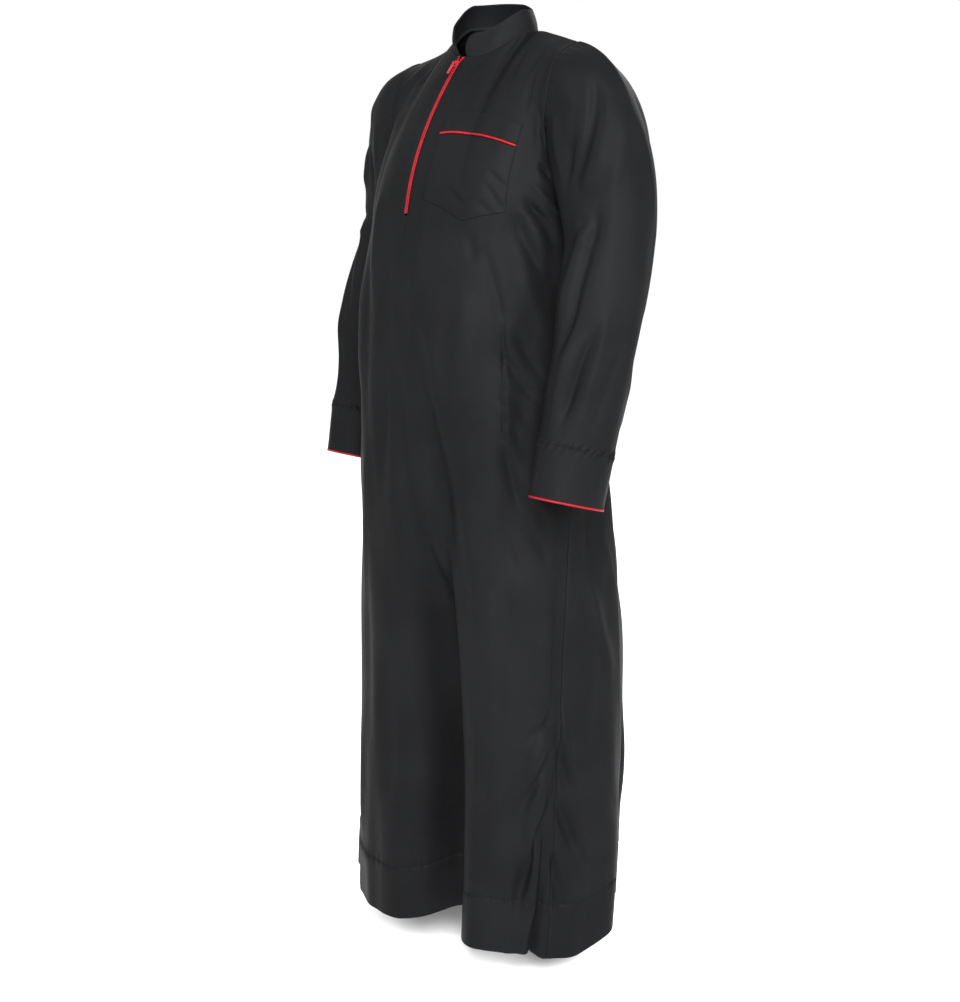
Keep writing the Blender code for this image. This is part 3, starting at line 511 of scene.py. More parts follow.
def chest(face, share, down):
    """A panel's left half above the armpits: ribs of cloth from the top edge to the first section."""
    at_neck = np.array([0, 0.62 * face, -0.78])
    at_shoulder = np.array([0, 0.95 * face, -0.30])
    arrive = np.array([0, 0.05 * face, -1.0])

    def rib(share):
        """Points down the ribs at shares across the half."""
        start = top_edge(face, share)
        end = section(face, share, np.full_like(share, CHEST_Z))
        span = length(end - start)
        leave = at_neck + share[..., None] * (at_shoulder - at_neck)
        return hermite(start, end, leave * span, arrive * span, down[..., None])

    pull = share[..., None] ** ARMHOLE_PULL
    return rib(share) + pull * (armhole(face, down) - rib(np.ones_like(share)))


def girth_of(face, across):
    """A panel's place across it, as a place round the body."""
    return across if face < 0 else 2 - across


def fold_out(folds, place, z, whole_turn):
    """How far the folds move the cloth out, at places round it and heights."""
    out = np.zeros(np.broadcast(place, z).shape)
    for fold in folds:
        share = np.clip((fold.z_top - z) / (fold.z_top - fold.z_bottom), 0, 1)
        middle = fold.place_top + share * (fold.place_bottom - fold.place_top)
        strength = np.sin(np.pi * share) ** 2 if fold.dies else ease(share, 0, 1)
        out += fold.out * strength * ridge(wrapped(place - middle, whole_turn), fold.width)
    return out


def hem_level(girth):
    """The hem's height at a girth, before its folds."""
    return HEM_Z + smooth(HEM_LEVELS, girth)[..., 0]


def settle(points):
    """Tilts the neck and the shoulders as they are worn."""
    share = ease(points[..., 2:], -0.55, -0.10)
    return points + share * smooth(SHOULDER_LEVELS, points[..., 0]) * np.array([0, 0, 1])


def panel(face, across, down):
    """Points of the front (face -1) or the back (face 1), with the folds of the solids."""
    across, down = places(across, down)
    share = np.abs(across)
    place = girth_of(face, across)
    upper = chest(face, share, np.clip(down, 0, 1))
    heights = CHEST_Z + np.clip(down - 1, 0, 1) * (hem_level(place) - CHEST_Z)
    points = np.where(down[..., None] < 1, upper, section(face, share, heights))
    out = fold_out(FOLDS, place, points[..., 2], 4)
    turn = share * np.pi / 2
    points = points + stack(np.sin(turn), face * np.cos(turn), 0) * out[..., None]
    points[..., 2] += HEM_RISE * np.maximum(-out, 0) * ease(down, 1.5, 2)
    points[..., 0] *= np.where(across < 0, -1.0, 1.0)
    return settle(points)


def sleeve_ring(side, turn, z):
    """Points round a sleeve below the biceps, as if a left one."""
    x, y, across, along, dip_out, dip_back = np.moveaxis(smooth(SLEEVE_RINGS, z), -1, 0)
    angle = 2 * np.pi * turn
    out = fold_out(SLEEVE_FOLDS, turn, z, 1)
    off_x = (across + out) * np.cos(angle)
    off_y = -(along + out) * np.sin(angle)
    up = side * LEFT_ARM_UP - dip_out * off_x - dip_back * off_y
    return stack(x + off_x, y - side * LEFT_ARM_AHEAD + off_y, z + up)


def sleeve(side, turn, down):
    """Points of a sleeve with the folds of the solids. side is 1 on the left and -1 on the right."""
    turn, down = places(turn, down)
    seam = np.clip(1 - np.abs(1 - 2 * turn), 0, 1)
    start = np.where((turn <= 0.5)[..., None], armhole(-1, seam), armhole(1, seam))
    biceps_z, cuff_z = SLEEVE_RINGS[0].z, SLEEVE_RINGS[-1].z
    end = sleeve_ring(side, turn, np.full_like(turn, biceps_z))
    top, ahead = np.cos(2 * np.pi * turn), np.sin(2 * np.pi * turn)
    outwards = 0.115 + 0.180 * top + 0.085 * top**2
    leave = stack(outwards, -0.010 - 0.035 * ahead, -0.060 + 0.012 * top)
    arrive = np.array([0.02, -0.04, -0.18]) + np.array([0.01, -0.02, -0.15]) * top[..., None]
    cap = hermite(start, end, leave, arrive, np.clip(down, 0, 1)[..., None])
    arm = sleeve_ring(side, turn, biceps_z + np.clip(down - 1, 0, 1) * (cuff_z - biceps_z))
    return settle(np.where(down[..., None] < 1, cap, arm) * np.array([side, 1, 1]))


# The cloth's own surface: creases, unevenness and sewing, moved out along the form's normals


def crease_out(creases, place, z, metres, whole_turn):
    """How far creases move the cloth out. metres gives the size of one unit of place at a height."""
    out = np.zeros(place.shape)
    scale = metres(z)
    share = np.linspace(0, 1, 13)[:, None]
    for crease in creases:
        # its line is a curve through b, found in metres round b
        ends = np.array(crease[:6]).reshape(3, 2)
        middle = ends[1, 0]
        ends[:, 0] = wrapped(ends[:, 0] - middle, whole_turn)
        bend = 2 * ends[1] - (ends[0] + ends[2]) / 2
        line = (1 - share) ** 2 * ends[0] + 2 * share * (1 - share) * bend + share**2 * ends[2]
        line[:, 0] *= metres(line[:, 1])
        low = line.min(axis=0) - 4 * crease.width
        high = line.max(axis=0) + 4 * crease.width
        u = wrapped(place - middle, whole_turn) * scale
        near = (u > low[0]) & (u < high[0]) & (z > low[1]) & (z < high[1])
        at = np.stack([u[near], z[near]], axis=-1)[:, None, :] - line[:-1]
        ways = np.diff(line, axis=0)
        part = np.clip((at * ways).sum(-1) / (ways**2).sum(-1), 0, 1)
        gaps = at - part[..., None] * ways
        far = np.linalg.norm(gaps, axis=-1)
        nearest = far.argmin(axis=1)
        pick = np.arange(len(nearest)), nearest
        way, gap = ways[nearest], gaps[pick]
        side = np.sign(way[:, 0] * gap[:, 1] - way[:, 1] * gap[:, 0])
        off = far[pick] / crease.width
        # a crest with a round top, and a slope from one side to the other, both up to 1
        crest = np.exp(-1.8 * (np.sqrt(off**2 + 0.25) - 0.5))
        slant = 2.33 * side * off * ridge(off, 1)
        along = (nearest + part[pick]) / len(ways)
        taper = ease(along, 0, 0.35) * ease(along, 1, 0.65)
        out[near] += taper * (crease.out * crest + crease.lean * slant)
    return out


def unevenness(u, z):
    """The slow waves of hanging cloth."""
    out = 0
    for wave in WAVES:
        sway = 0.8 * np.sin(2 * np.pi * z / 0.41 + wave.phase)
        out = out + wave.out * np.sin(2 * np.pi * (u / wave.wide + z / wave.tall) + wave.phase + sway)
    return out


def seam(off, depth, width):
    """The groove of a seam."""
    return depth * ridge(off, width)


def puckers(along, off, out, reach):
    """Small gathers along a stitched line, which die out away from it."""
    uneven = 1.7 * np.sin(along / 0.021) + 0.9 * np.sin(along / 0.0083)
    return out * np.sin(2 * np.pi * along / PUCKER + uneven) * ridge(off, reach)


def turned_edge(off, fold, width):
    """The relief of a turned edge: a groove at its stitching, and the fold that stands beyond it."""
    return fold * ease(off, 0.001, -0.004) - seam(off, STITCH_GROOVE, width)


def girth_metres(z):
    """Metres for one unit of girth, at a height."""
    return np.interp(z, [-1.41, -1.07, -0.85, -0.62, -0.285, -0.10, 0.0],
                     [0.373, 0.350, 0.325, 0.301, 0.276, 0.22, 0.20])


def turn_metres(z):
    """A sleeve's girth at a height."""
    return np.interp(z, [-0.69, -0.50, -0.325, -0.05], [0.333, 0.391, 0.452, 0.50])


def chest_out(down):
    """How far the front's cloth stands out at its centre, where it rounds off the bend at the chest."""
    from_chest = np.where(down < 1, (1 - down) * CENTRE_LENGTH, (down - 1) * (CHEST_Z - HEM_Z))
    return 0.5 * CHEST_BEND * (np.sqrt(from_chest**2 + CHEST_ROUND**2) - from_chest)


def body_out(face, across, down, z):
    """How far the cloth of a panel stands out from the solids' form."""
    share = np.abs(across)
    place = girth_of(face, across)
    metres = girth_metres(z)
    u = place * metres
    off_centre = share * metres
    side_off = (1 - share) * metres
    hem_off = (2 - down) * (CHEST_Z - HEM_Z) - HEM_DEPTH
    # creases die out at the sewn edges, and waves also where the girth starts anew
    free = ease(down, 0, 0.10) * (1 - (1 - ease(down, 1.0, 1.10)) * ease(share, 0.93, 1.0))
    calm = ease(np.abs(wrapped(place + 1, 4)), 0, 0.2)
    if face < 0:
        free = free * (1 - ease(off_centre, 0.035, 0.008) * (1 - ease(down, 1.04, 1.12)))
    out = free * (crease_out(BODY_CREASES, place, z, girth_metres, 4) + calm * unevenness(u, z))
    out -= seam(side_off, *SIDE_SEAM) + seam(down * UPPER_LENGTH, *TOP_SEAM)
    out += puckers(z, side_off, *SIDE_PUCKERS) * ease(down, 1.02, 1.15)
    out += calm * ease(hem_off, 0.06, 0.0) * puckers(u, hem_off, *HEM_PUCKERS)
    out += turned_edge(hem_off, *HEM_FOLD)
    if face > 0:
        return out
    # the zip's slit, and the seam below it
    out += chest_out(down) * np.cos(share * np.pi / 2)
    below = seam(off_centre, *ZIP_SEAM) * ease(down, ZIP_SEAM_DOWN, 1.05)
    beside = SLIT_EDGE * ease(off_centre, SLIT_HALF + 0.004, SLIT_HALF)
    out -= np.where(down > SLIT_CLOSED_DOWN, below, beside)
    out += puckers(down * UPPER_LENGTH, off_centre - 0.010, *ZIP_PUCKERS) * ease(down, 1.02, 0.98)
    # the slits of the side pockets
    sway = 0.0014 * np.sin(2 * np.pi * z / 0.034 + 2.2 * np.sin(z / 0.019))
    slit_off = (share - SLIT_GIRTH) * metres + sway
    beside = ease(z, SLIT_BOTTOM_Z - 0.006, SLIT_BOTTOM_Z) * ease(z, SLIT_TOP_Z + 0.006, SLIT_TOP_Z)
    lip = SLIT_LIP * ease(slit_off, -0.003, 0.0) * ease(slit_off, 0.016, 0.004)
    gathers = puckers(z * 0.6 + 0.4 * slit_off, slit_off, *SLIT_PUCKERS)
    return out + beside * (lip + gathers - seam(slit_off, *SLIT_GROOVE))


def slit_spread(share, down):
    """How far the zip's slit moves the cloth beside it apart, more so above the slider."""
    slit = SLIT_HALF * np.clip(1 - share / SLIT_SHARE, 0, 1) * ease(down, SLIT_CLOSED_DOWN, SLIT_END_DOWN)
    return slit + fall_open(down) * ease(share, FALL_REACH, 0)


def fall_open(down):
    """How far each side of the neck falls open above the slider."""
    return FALL_OPEN * ease(down, SLIDER_DOWN, 0)


def normals(form, near, place, down):
    """The outward normals of a form at its places. near keeps a place beside them on the form."""
    step = 2e-3
    by_place = form(near(place + step), down) - form(near(place - step), down)
    by_down = form(place, np.minimum(down + step, 2)) - form(place, np.maximum(down - step, 0))
    normal = np.cross(by_place, by_down)
    return normal / length(normal)


def on_body(face, across, down, lift=0.0):
    """Points on the cloth of a panel and its outward normals."""
    across, down = places(across, down)
    here = panel(face, across, down)
    normal = face * normals(
        lambda *place: panel(face, *place), lambda place: np.clip(place, -1, 1), across, down
    )
    out = body_out(face, across, down, here[..., 2]) + lift
    points = here + normal * out[..., None]
    if face < 0:
        apart = slit_spread(np.abs(across), down)
        points[..., 0] += np.where(np.signbit(across), -apart, apart)
    points[..., 1] += face * SEAM_GAP / 2
    return points, normal


def sleeve_out(side, turn, down, z):
    """How far the cloth of a sleeve stands out from the solids' form."""
    # the right sleeve has the left one's creases, turned a little and lower
    place, drop = (turn, z) if side > 0 else (turn + 0.035, z + 0.018)
    metres = turn_metres(z)
    u = turn * metres
    seam_off = down * CAP_LENGTH
    cuff_off = (2 - down) * ARM_LENGTH - CUFF_DEPTH
    waves = unevenness(np.sin(2 * np.pi * turn + 1.0) * 0.07 + side * 0.03, z)
    free = ease(down, 0, 0.13) * ease(down, 2.02, 1.90)
    out = free * (crease_out(SLEEVE_CREASES, place, drop, turn_metres, 1) + waves)
    out -= seam(seam_off, *TOP_SEAM) + seam(np.abs(turn - 0.5) * metres, *UNDERARM_SEAM)
    out += puckers(u, seam_off - 0.004, *CAP_PUCKERS) * ease(seam_off, 0.0, 0.004)
    out += puckers(u + 0.7 * cuff_off, cuff_off, *CUFF_PUCKERS)
    return out + turned_edge(cuff_off, *CUFF_FOLD)


def on_sleeve(side, turn, down, lift=0.0):
    """Points on the cloth of a sleeve and its outward normals."""
    turn, down = places(turn, down)
    here = sleeve(side, turn, down)
    normal = side * normals(lambda *place: sleeve(side, *place), lambda place: place % 1, turn, down)
    out = sleeve_out(side, turn, down, here[..., 2]) + lift
    points = here + normal * out[..., None]
    points[..., 0] += side * (SEAM_GAP + 0.00005)
    return points, normal


def find_on_front(x, z):
    """Places across and down the front whose points have the given x and z."""
    # a first guess, and then steps towards the point by the form's slopes
    across = np.asarray(x, float) / SECTIONS[0].half_width * 0.7
    down = np.clip((np.asarray(z, float) - FRONT_NECK[1]) / (CHEST_Z - FRONT_NECK[1]), 0, 1)
    step = 1e-4
    for _ in range(12):
        here = panel(-1, across, down)
        by_across = (panel(-1, across + step, down) - here) / step
        by_down = (panel(-1, across, down + step) - here) / step
        miss_x = x - here[..., 0]
        miss_z = z - here[..., 2]
        area = by_across[..., 0] * by_down[..., 2] - by_down[..., 0] * by_across[..., 2]
        across = across + (miss_x * by_down[..., 2] - miss_z * by_down[..., 0]) / area
        down = down + (miss_z * by_across[..., 0] - miss_x * by_across[..., 2]) / area
    return across, down


def skirt_down(z, across):
    """How far down a panel a level of its unfolded form lies, below the armpits."""
    return 1 + (CHEST_Z - z) / (CHEST_Z - hem_level(across))


# Meshes


def spread(low, high, count, marks=(), steps=(0.0,)):
    """Even places from low to high, with more of them at steps on both sides of each mark."""
    near = [mark + way * step for mark in marks for step in steps for way in (-1, 1)]
    line = np.clip(np.concatenate([np.linspace(low, high, count), near]), low, high)
    line = np.unique(np.round(line, 7))
    keep = np.concatenate([[True], np.diff(line) > 2e-4])
    keep[-1] = True
    return line[keep]


def new_mesh(name, points, faces, smooth=True):
    """A mesh from its points and faces."""
    mesh = bpy.data.meshes.new(name)
    mesh.from_pydata(np.asarray(points, float).tolist(), [], faces)
    if smooth:
        mesh.shade_smooth()
    return mesh


def link(mesh, paint):
    """An object of one material, with its mesh's name."""
    mesh.materials.append(paint)
    made = bpy.data.objects.new(mesh.name, mesh)
    bpy.context.scene.collection.objects.link(made)
    return made


def grid_mesh(name, points, cut, wear=None, closed=False, flip=False, index=None, gap=-1):
    """A mesh over points laid out row by row, with its flat cut in metres as a UV map.

    A closed grid joins its last column to its first, and its cut has one column more. wear tells the
    paint how worn each point is. index gives each point's vertex where some share one, and no face
    crosses from column gap to the next.
    """
    rows, columns = points.shape[:2]
    if index is None:
        index = np.arange(rows * columns).reshape(rows, columns)
    low = np.arange(rows - 1)[:, None]
    left = np.arange(columns if closed else columns - 1)
    left = left[left != gap][None, :]
    corners = [(low, left), (low + 1, left), (low + 1, left + 1), (low, left + 1)]
    if flip:
        corners.reverse()
    quads = np.stack([index[row + 0 * col, (col + 0 * row) % columns] for row, col in corners], axis=-1)
    used, faces = np.unique(quads.reshape(-1, 4), return_inverse=True)
    mesh = new_mesh(name, points.reshape(-1, 3)[used], faces.reshape(-1, 4).tolist())
    flat = np.stack([cut[row + 0 * col, col + 0 * row] for row, col in corners], axis=-2)
    mesh.uv_layers.new(name="cut").uv.foreach_set("vector", flat.reshape(-1).astype(np.float32))
    if wear is not None:
        wear = np.broadcast_to(wear, (rows, columns)).reshape(-1)[used].astype(np.float32)
        mesh.attributes.new("edge", "FLOAT", "POINT").data.foreach_set("value", wear)
    return mesh


def weld(piece):
    """Joins the vertices that lie in one place, which drops the faces without area between them."""
    piece.modifiers.new("joined corners", "WELD").merge_threshold = 2e-6


def thicken(piece, thickness):
    """Gives a sheet its thickness, inwards, with a closed rim."""
    weld(piece)
    step = piece.modifiers.new("cloth thickness", "SOLIDIFY")
    step.thickness = thickness
    step.offset = -1.0
    step.use_rim = True


def round_edges(piece, width, degrees=None):
    """Rounds a piece's edges, or only those that bend by more than some degrees."""
    step = piece.modifiers.new("rounded edges", "BEVEL")
    step.width = width
    step.segments = 2
    if degrees:
        step.limit_method = "ANGLE"
        step.angle_limit = np.radians(degrees)


def tube_mesh(name, path, outs, radius, sides, closed=False):
    """A round cord along a path, with outs pointing out of the cloth that it is sewn to."""
    along = np.roll(path, -1, axis=0) - np.roll(path, 1, axis=0) if closed else np.gradient(path, axis=0)
    along /= length(along)
    outs = outs - (outs * along).sum(-1, keepdims=True) * along
    outs /= length(outs)
    beside = np.cross(along, outs)
    angle = (2 * np.pi * np.arange(sides) / sides)[:, None]
    radius = np.broadcast_to(radius, len(path))[:, None, None]
    rings = path[:, None] + radius * (np.cos(angle) * outs[:, None] + np.sin(angle) * beside[:, None])
    index = np.arange(len(path) * sides).reshape(len(path), sides)
    low = index if closed else index[:-1]
    high = np.roll(index, -1, axis=0)[:len(low)]
    faces = np.stack([low, np.roll(low, -1, axis=1), np.roll(high, -1, axis=1), high], axis=-1)
    faces = faces.reshape(-1, 4).tolist()
    if not closed:
        faces += [index[0, ::-1].tolist(), index[-1].tolist()]
    return new_mesh(name, rings.reshape(-1, 3), faces)


def walk(path, outs, pitch):
    """The middle, the way along and the way out of each stitch or tooth along a path."""
    steps = np.concatenate([[0], np.cumsum(length(np.diff(path, axis=0))[:, 0])])
    count = max(2, int(steps[-1] / pitch))
    at = (np.arange(count) + 0.5) * steps[-1] / count

    def met(values, at):
        """Values at lengths along the path."""
        return np.stack([np.interp(at, steps, column) for column in values.T], axis=-1)

    ahead = met(path, at + pitch / 4) - met(path, at - pitch / 4)
    out = met(outs, at)
    return zip(met(path, at), ahead / length(ahead), out / length(out))


def stitch_mesh(name, runs, pitch, radius):
    """Short rounded threads along each (path, outs), as one mesh."""
    points = []
    faces = []
    half = 0.40 * pitch
    for path, outs in runs:
        for middle, ahead, out in walk(path, outs, pitch):
            beside = np.cross(ahead, out)
            first = len(points)
            points.append(middle - ahead * half - out * radius)
            for share in (-0.6, 0.6):
                for angle in np.pi / 2 * np.arange(4):
                    way = np.cos(angle) * out + np.sin(angle) * beside
                    points.append(middle + ahead * half * share + way * radius)
            points.append(middle + ahead * half - out * radius)
            for turn in range(4):
                near, far = first + 1 + turn, first + 1 + (turn + 1) % 4
                faces += [(first, far, near), (near, far, far + 4, near + 4), (first + 9, near + 4, far + 4)]
    return new_mesh(name, points, faces)


# Shader maths


class Socket:
    """A shader socket that takes part in sums and products of Python."""

    def __init__(self, paint, link):
        self.paint = paint
        self.link = link

    def maths(self, operation, *others, swap=False):
        """A Math node on this socket and the others."""
        values = [self, *others]
        if swap:
            values.reverse()
        return self.paint.node("ShaderNodeMath", {"operation": operation}, dict(enumerate(values)))

    def __add__(self, other):
        return self.maths("ADD", other)

    __radd__ = __add__

    def __mul__(self, other):
        return self.maths("MULTIPLY", other)

    __rmul__ = __mul__

    def __sub__(self, other):
        return self.maths("SUBTRACT", other)

    def __rsub__(self, other):
        return self.maths("SUBTRACT", other, swap=True)

    def sine(self):
        """The sine of this socket, in radians."""
        return self.maths("SINE")

    def between(self, low, high):
        """0 below low, 1 above high, and a smooth step between them."""
        settings = {"interpolation_type": "SMOOTHSTEP"}
        return self.paint.node(
            "ShaderNodeMapRange", settings, {"Value": self, "From Min": low, "From Max": high}
        )


class Paint:
    """A material under construction."""

    def __init__(self, name):
        self.material = bpy.data.materials.new(name)
        self.material.use_nodes = True
        self.tree = self.material.node_tree
        self.shader = self.tree.nodes["Principled BSDF"]

    def fill(self, socket, value):
        """Links or sets one socket."""
        if isinstance(value, Socket):
            self.tree.links.new(value.link, socket)
        else:
            socket.default_value = value

    def node(self, kind, settings, sockets, output=0):
        """Adds a node, with its settings first and then its sockets, and returns one output."""
        made = self.tree.nodes.new(kind)
        for key, value in settings.items():
            if key == "stops":
                for place, stop in enumerate(value):
                    element = made.color_ramp.elements
                    part = element[place] if place < len(element) else element.new(stop[0])
                    part.position, part.color = stop
            else:
                setattr(made, key, value)
        for key, value in sockets.items():
            self.fill(made.inputs[key], value)
        return Socket(self, made.outputs[output])

    def mix(self, factor, first, second):
        """One colour over another."""
        return self.node("ShaderNodeMix", {"data_type": "RGBA"}, {0: factor, 6: first, 7: second}, 2)

    def noise(self, vector, scale, detail=2.0, roughness=0.5):
        """Soft noise from 0 to 1."""
        sockets = {"Vector": vector, "Scale": scale, "Detail": detail, "Roughness": roughness}
        return self.node("ShaderNodeTexNoise", {}, sockets)

    def bump(self, height):
        """A normal from a height in metres."""
        return self.node("ShaderNodeBump", {}, {"Strength": 1.0, "Distance": 1.0, "Height": height})

    def parts(self, vector, *axes):
        """Some of a vector's coordinates."""
        first = self.node("ShaderNodeSeparateXYZ", {}, {"Vector": vector})
        return [Socket(self, first.link.node.outputs[axis]) for axis in axes]

    def stretched(self, vector, scale):
        """Coordinates scaled along their axes."""
        return self.node("ShaderNodeMapping", {}, {"Vector": vector, "Scale": scale})

    def value(self, name):
        """A value that the mesh holds."""
        return self.node("ShaderNodeAttribute", {"attribute_name": name}, {}, "Fac")

    def place(self):
        """The piece's own coordinates in metres."""
        return self.node("ShaderNodeTexCoord", {}, {}, "Object")

    def set(self, **sockets):
        """Sets or links sockets of the shader by their names, with _ for a space."""
        for key, value in sockets.items():
            self.fill(self.shader.inputs[key.replace("_", " ")], value)


def opaque(color, times=1.0):
    """A colour, brightened or darkened, with its alpha."""
    return (*(times * part for part in color), 1.0)


def cloth_paint(name, settings):
    """Smooth black suiting: a fine twill with slubs, uneven lustre and paler wear at its edges."""
    paint = Paint(name)
    cut = paint.node("ShaderNodeUVMap", {"uv_map": "cut"}, {})
    across, down = paint.parts(cut, "X", "Y")
    turns = 2 * np.pi / settings.weave
    twill = ((across + down) * turns).sine()
    weft = ((down - across * 0.35) * (turns * 1.7)).sine()
    place = paint.place()
    cloudy = paint.noise(place, 9.0, 3.0)
    slubs = paint.noise(paint.stretched(cut, (320.0, 34.0, 1.0)), 1.0)
    fibres = paint.noise(place, 900.0, 1.0)
    edge = paint.value("edge")
    rumple = paint.noise(paint.stretched(cut, (46.0, 13.0, 1.0)), 1.0, 2.0, 0.55)
    weave = twill * 0.000022 + weft * 0.000012 + slubs * 0.00009 + fibres * 0.00003
    dark, light, worn = (opaque(settings.color, times) for times in (0.90, 1.12, 1.8))
    base = paint.mix(cloudy.between(0.3, 0.7), dark, light)
    base = paint.mix(slubs.between(0.55, 0.85) * 0.35, base, light)
    paint.set(
        Base_Color=paint.mix(edge * 0.25, base, worn),
        Roughness=settings.roughness + (cloudy - 0.5) * 0.10 + (slubs - 0.5) * 0.06 + edge * 0.06,
        Normal=paint.bump(weave + rumple * settings.rumple),
        Specular_IOR_Level=settings.lustre,
        Sheen_Weight=settings.sheen,
        Sheen_Roughness=0.45,
        Sheen_Tint=(0.60, 0.62, 0.68, 1.0),
    )
    return paint.material


def piping_paint(name, color):
    """Bright red satin, with the slanting threads of a bias strip."""
    paint = Paint(name)
    place = paint.place()
    sideways, upright = paint.parts(place, "X", "Z")
    threads = ((sideways + upright) * (2 * np.pi / 0.0009)).sine()
    mottled = paint.noise(place, 120.0)
    paint.set(
        Base_Color=paint.mix(mottled.between(0.3, 0.75), opaque(color, 0.72), opaque(color)),
        Roughness=0.42 + (mottled - 0.5) * 0.16,
        Normal=paint.bump(threads * 0.00003 + mottled * 0.00018),
        Specular_IOR_Level=0.08,
    )
    return paint.material


def enamel_paint(name, color):
    """Red enamel over metal, worn to the metal in small specks."""
    paint = Paint(name)
    place = paint.place()
    specks = paint.noise(place, 900.0, 3.0).between(0.70, 0.78)
    orange_peel = paint.noise(place, 1400.0, 1.0)
    paint.set(
        Base_Color=paint.mix(specks * 0.8, opaque(color), (0.40, 0.34, 0.33, 1.0)),
        Metallic=specks * 0.9,
        Roughness=0.34 + orange_peel * 0.10 + specks * 0.10,
        Specular_IOR_Level=0.20,
        Normal=paint.bump(orange_peel * 0.00002),
        Coat_Roughness=0.20,
        Coat_Weight=0.15 - specks * 0.15,
    )
    return paint.material


def thread_paint(name, color):
    """Black sewing thread with a slight shine."""
    paint = Paint(name)
    ply = paint.noise(paint.place(), 2500.0, 1.0)
    paint.set(
        Base_Color=paint.mix(ply, opaque(color), opaque(color, 1.3)),
        Roughness=0.56 + ply * 0.12,
        Normal=paint.bump(ply * 0.00004),
        Specular_IOR_Level=0.04,
    )
    return paint.material


# Settings


COLOR = {"subtype": "COLOR", "size": 3, "min": 0, "max": 1}
FACTOR = {"subtype": "FACTOR", "max": 1}
FINE = {"unit": "LENGTH", "precision": 5}


class ClothSettings(bpy.types.PropertyGroup):
    """The black cloth."""

    color: FloatVectorProperty(
        name="Colour", description="Colour of the black cloth", default=(0.0041, 0.0042, 0.0045), **COLOR
    )
    roughness: FloatProperty(
        name="Roughness", description="How matt the cloth is", default=0.48, min=0.05, **FACTOR
    )
    lustre: FloatProperty(
        name="Lustre", description="How strongly the cloth mirrors light", default=0.017, min=0, **FACTOR
    )
    sheen: FloatProperty(
        name="Sheen", description="Soft light from the fibre ends", default=0.0, min=0, **FACTOR
    )
    weave: FloatProperty(
        name="Twill", description="Distance between the lines of the twill",
        default=0.0011, min=0.0003, max=0.01, **FINE,
    )
    rumple: FloatProperty(
        name="Rumple", description="Depth of the faint rumples of worn cloth",
        default=0.0007, min=0, max=0.01, **FINE,
    )
    thickness: FloatProperty(
        name="Thickness", description="Thickness of the cloth",
        default=0.0010, min=0.0003, max=0.003, **FINE,
    )


class TrimSettings(bpy.types.PropertyGroup):
    """The red trim, the zip and the sewing."""

    color: FloatVectorProperty(
        name="Piping", description="Colour of the piping and the zip", default=(0.165, 0.0040, 0.0080),
        **COLOR,
    )
    enamel: FloatVectorProperty(
        name="Enamel", description="Colour of the slider and its pull", default=(0.160, 0.0030, 0.0066),
        **COLOR,
    )
    thread: FloatVectorProperty(
        name="Thread", description="Colour of the sewing thread", default=(0.0046, 0.0046, 0.0052), **COLOR
    )
    tooth_pitch: FloatProperty(
        name="Tooth pitch", description="Distance between the zip's teeth",
        default=0.0017, min=0.0008, max=0.005, **FINE,
    )
    stitch_pitch: FloatProperty(
        name="Stitch", description="Length of one stitch", default=0.0030, min=0.001, max=0.01, **FINE
    )


class StageSettings(bpy.types.PropertyGroup):
    """The floor, the lights and the camera."""

    floor_z: FloatProperty(
        name="Floor", description="Height of the floor", default=-1.452, unit="LENGTH"
    )
    floor_color: FloatVectorProperty(
        name="Floor colour", description="Colour of the floor", default=(1.0, 1.0, 1.0), **COLOR
    )
    azimuth: FloatProperty(
        name="Azimuth", description="Where the camera stands, round from the front",
        default=np.radians(52.0), subtype="ANGLE",
    )
    pitch: FloatProperty(
        name="Pitch", description="How far the camera looks down",
        default=np.radians(11.0), subtype="ANGLE",
    )
    distance: FloatProperty(
        name="Distance", description="From the camera to the garment's middle",
        default=3.202, unit="LENGTH",
    )
    lens: FloatProperty(name="Lens", description="Focal length", default=73.9, unit="CAMERA")


# Operators


def finish_piece(piece, slot, *solids, body="garment"):
    """Puts a piece on its body and hides the solids it stands for."""
    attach(piece, body)
    if solids:
        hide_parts(*solids)


def cloth_piece(mesh, part, settings, thickness):
    """A piece of the black cloth, with its thickness. Its paint's name says which part it is."""
    piece = link(mesh, cloth_paint(f"black suiting of the {part}", settings))
    thicken(piece, thickness)
    return piece


def panel_rows():
    """Places down a panel, closer at the shoulder, the armpits and the hem's stitching."""
    line = 2 - HEM_DEPTH / (CHEST_Z - HEM_Z)
    upper = spread(0, 1, UPPER_ROWS, (0,), (0.004, 0.008, 0.014))
    upper = np.union1d(upper, np.linspace(SLIT_END_DOWN, SLIT_CLOSED_DOWN, 5))
    lower = spread(1, 2, SKIRT_ROWS, (line, 2), (0.0, 0.0012, 0.0026, 0.0045, 0.008))
    return np.concatenate([upper, lower[1:]])


def half_columns(marks):
    """Places across half a panel, closer at its seams."""
    columns = spread(0, 1, HALF_COLUMNS, (1,), (0.0, 0.0035, 0.0075, 0.0125, 0.019, 0.027))
    for mark in marks:
        columns = np.union1d(columns, mark + np.array([-0.024, -0.014, -0.007, 0, 0.007, 0.014, 0.024]))
    columns = columns[np.concatenate([[True], np.diff(columns) > 1e-3])]
    return columns[columns >= 0]


def body_wear(face, across, down, z):
    """Wear at the seams, the slit and the hem, for the paint."""
    metres = girth_metres(z)
    offs = [(1 - np.abs(across)) * metres, down * UPPER_LENGTH, (2 - down) * (CHEST_Z - HEM_Z)]
    if face < 0:
        offs.append(np.where(down < 1, np.abs(across) * metres, 1.0))
    return np.exp(-np.minimum.reduce(np.broadcast_arrays(*offs)) / WEAR_REACH)


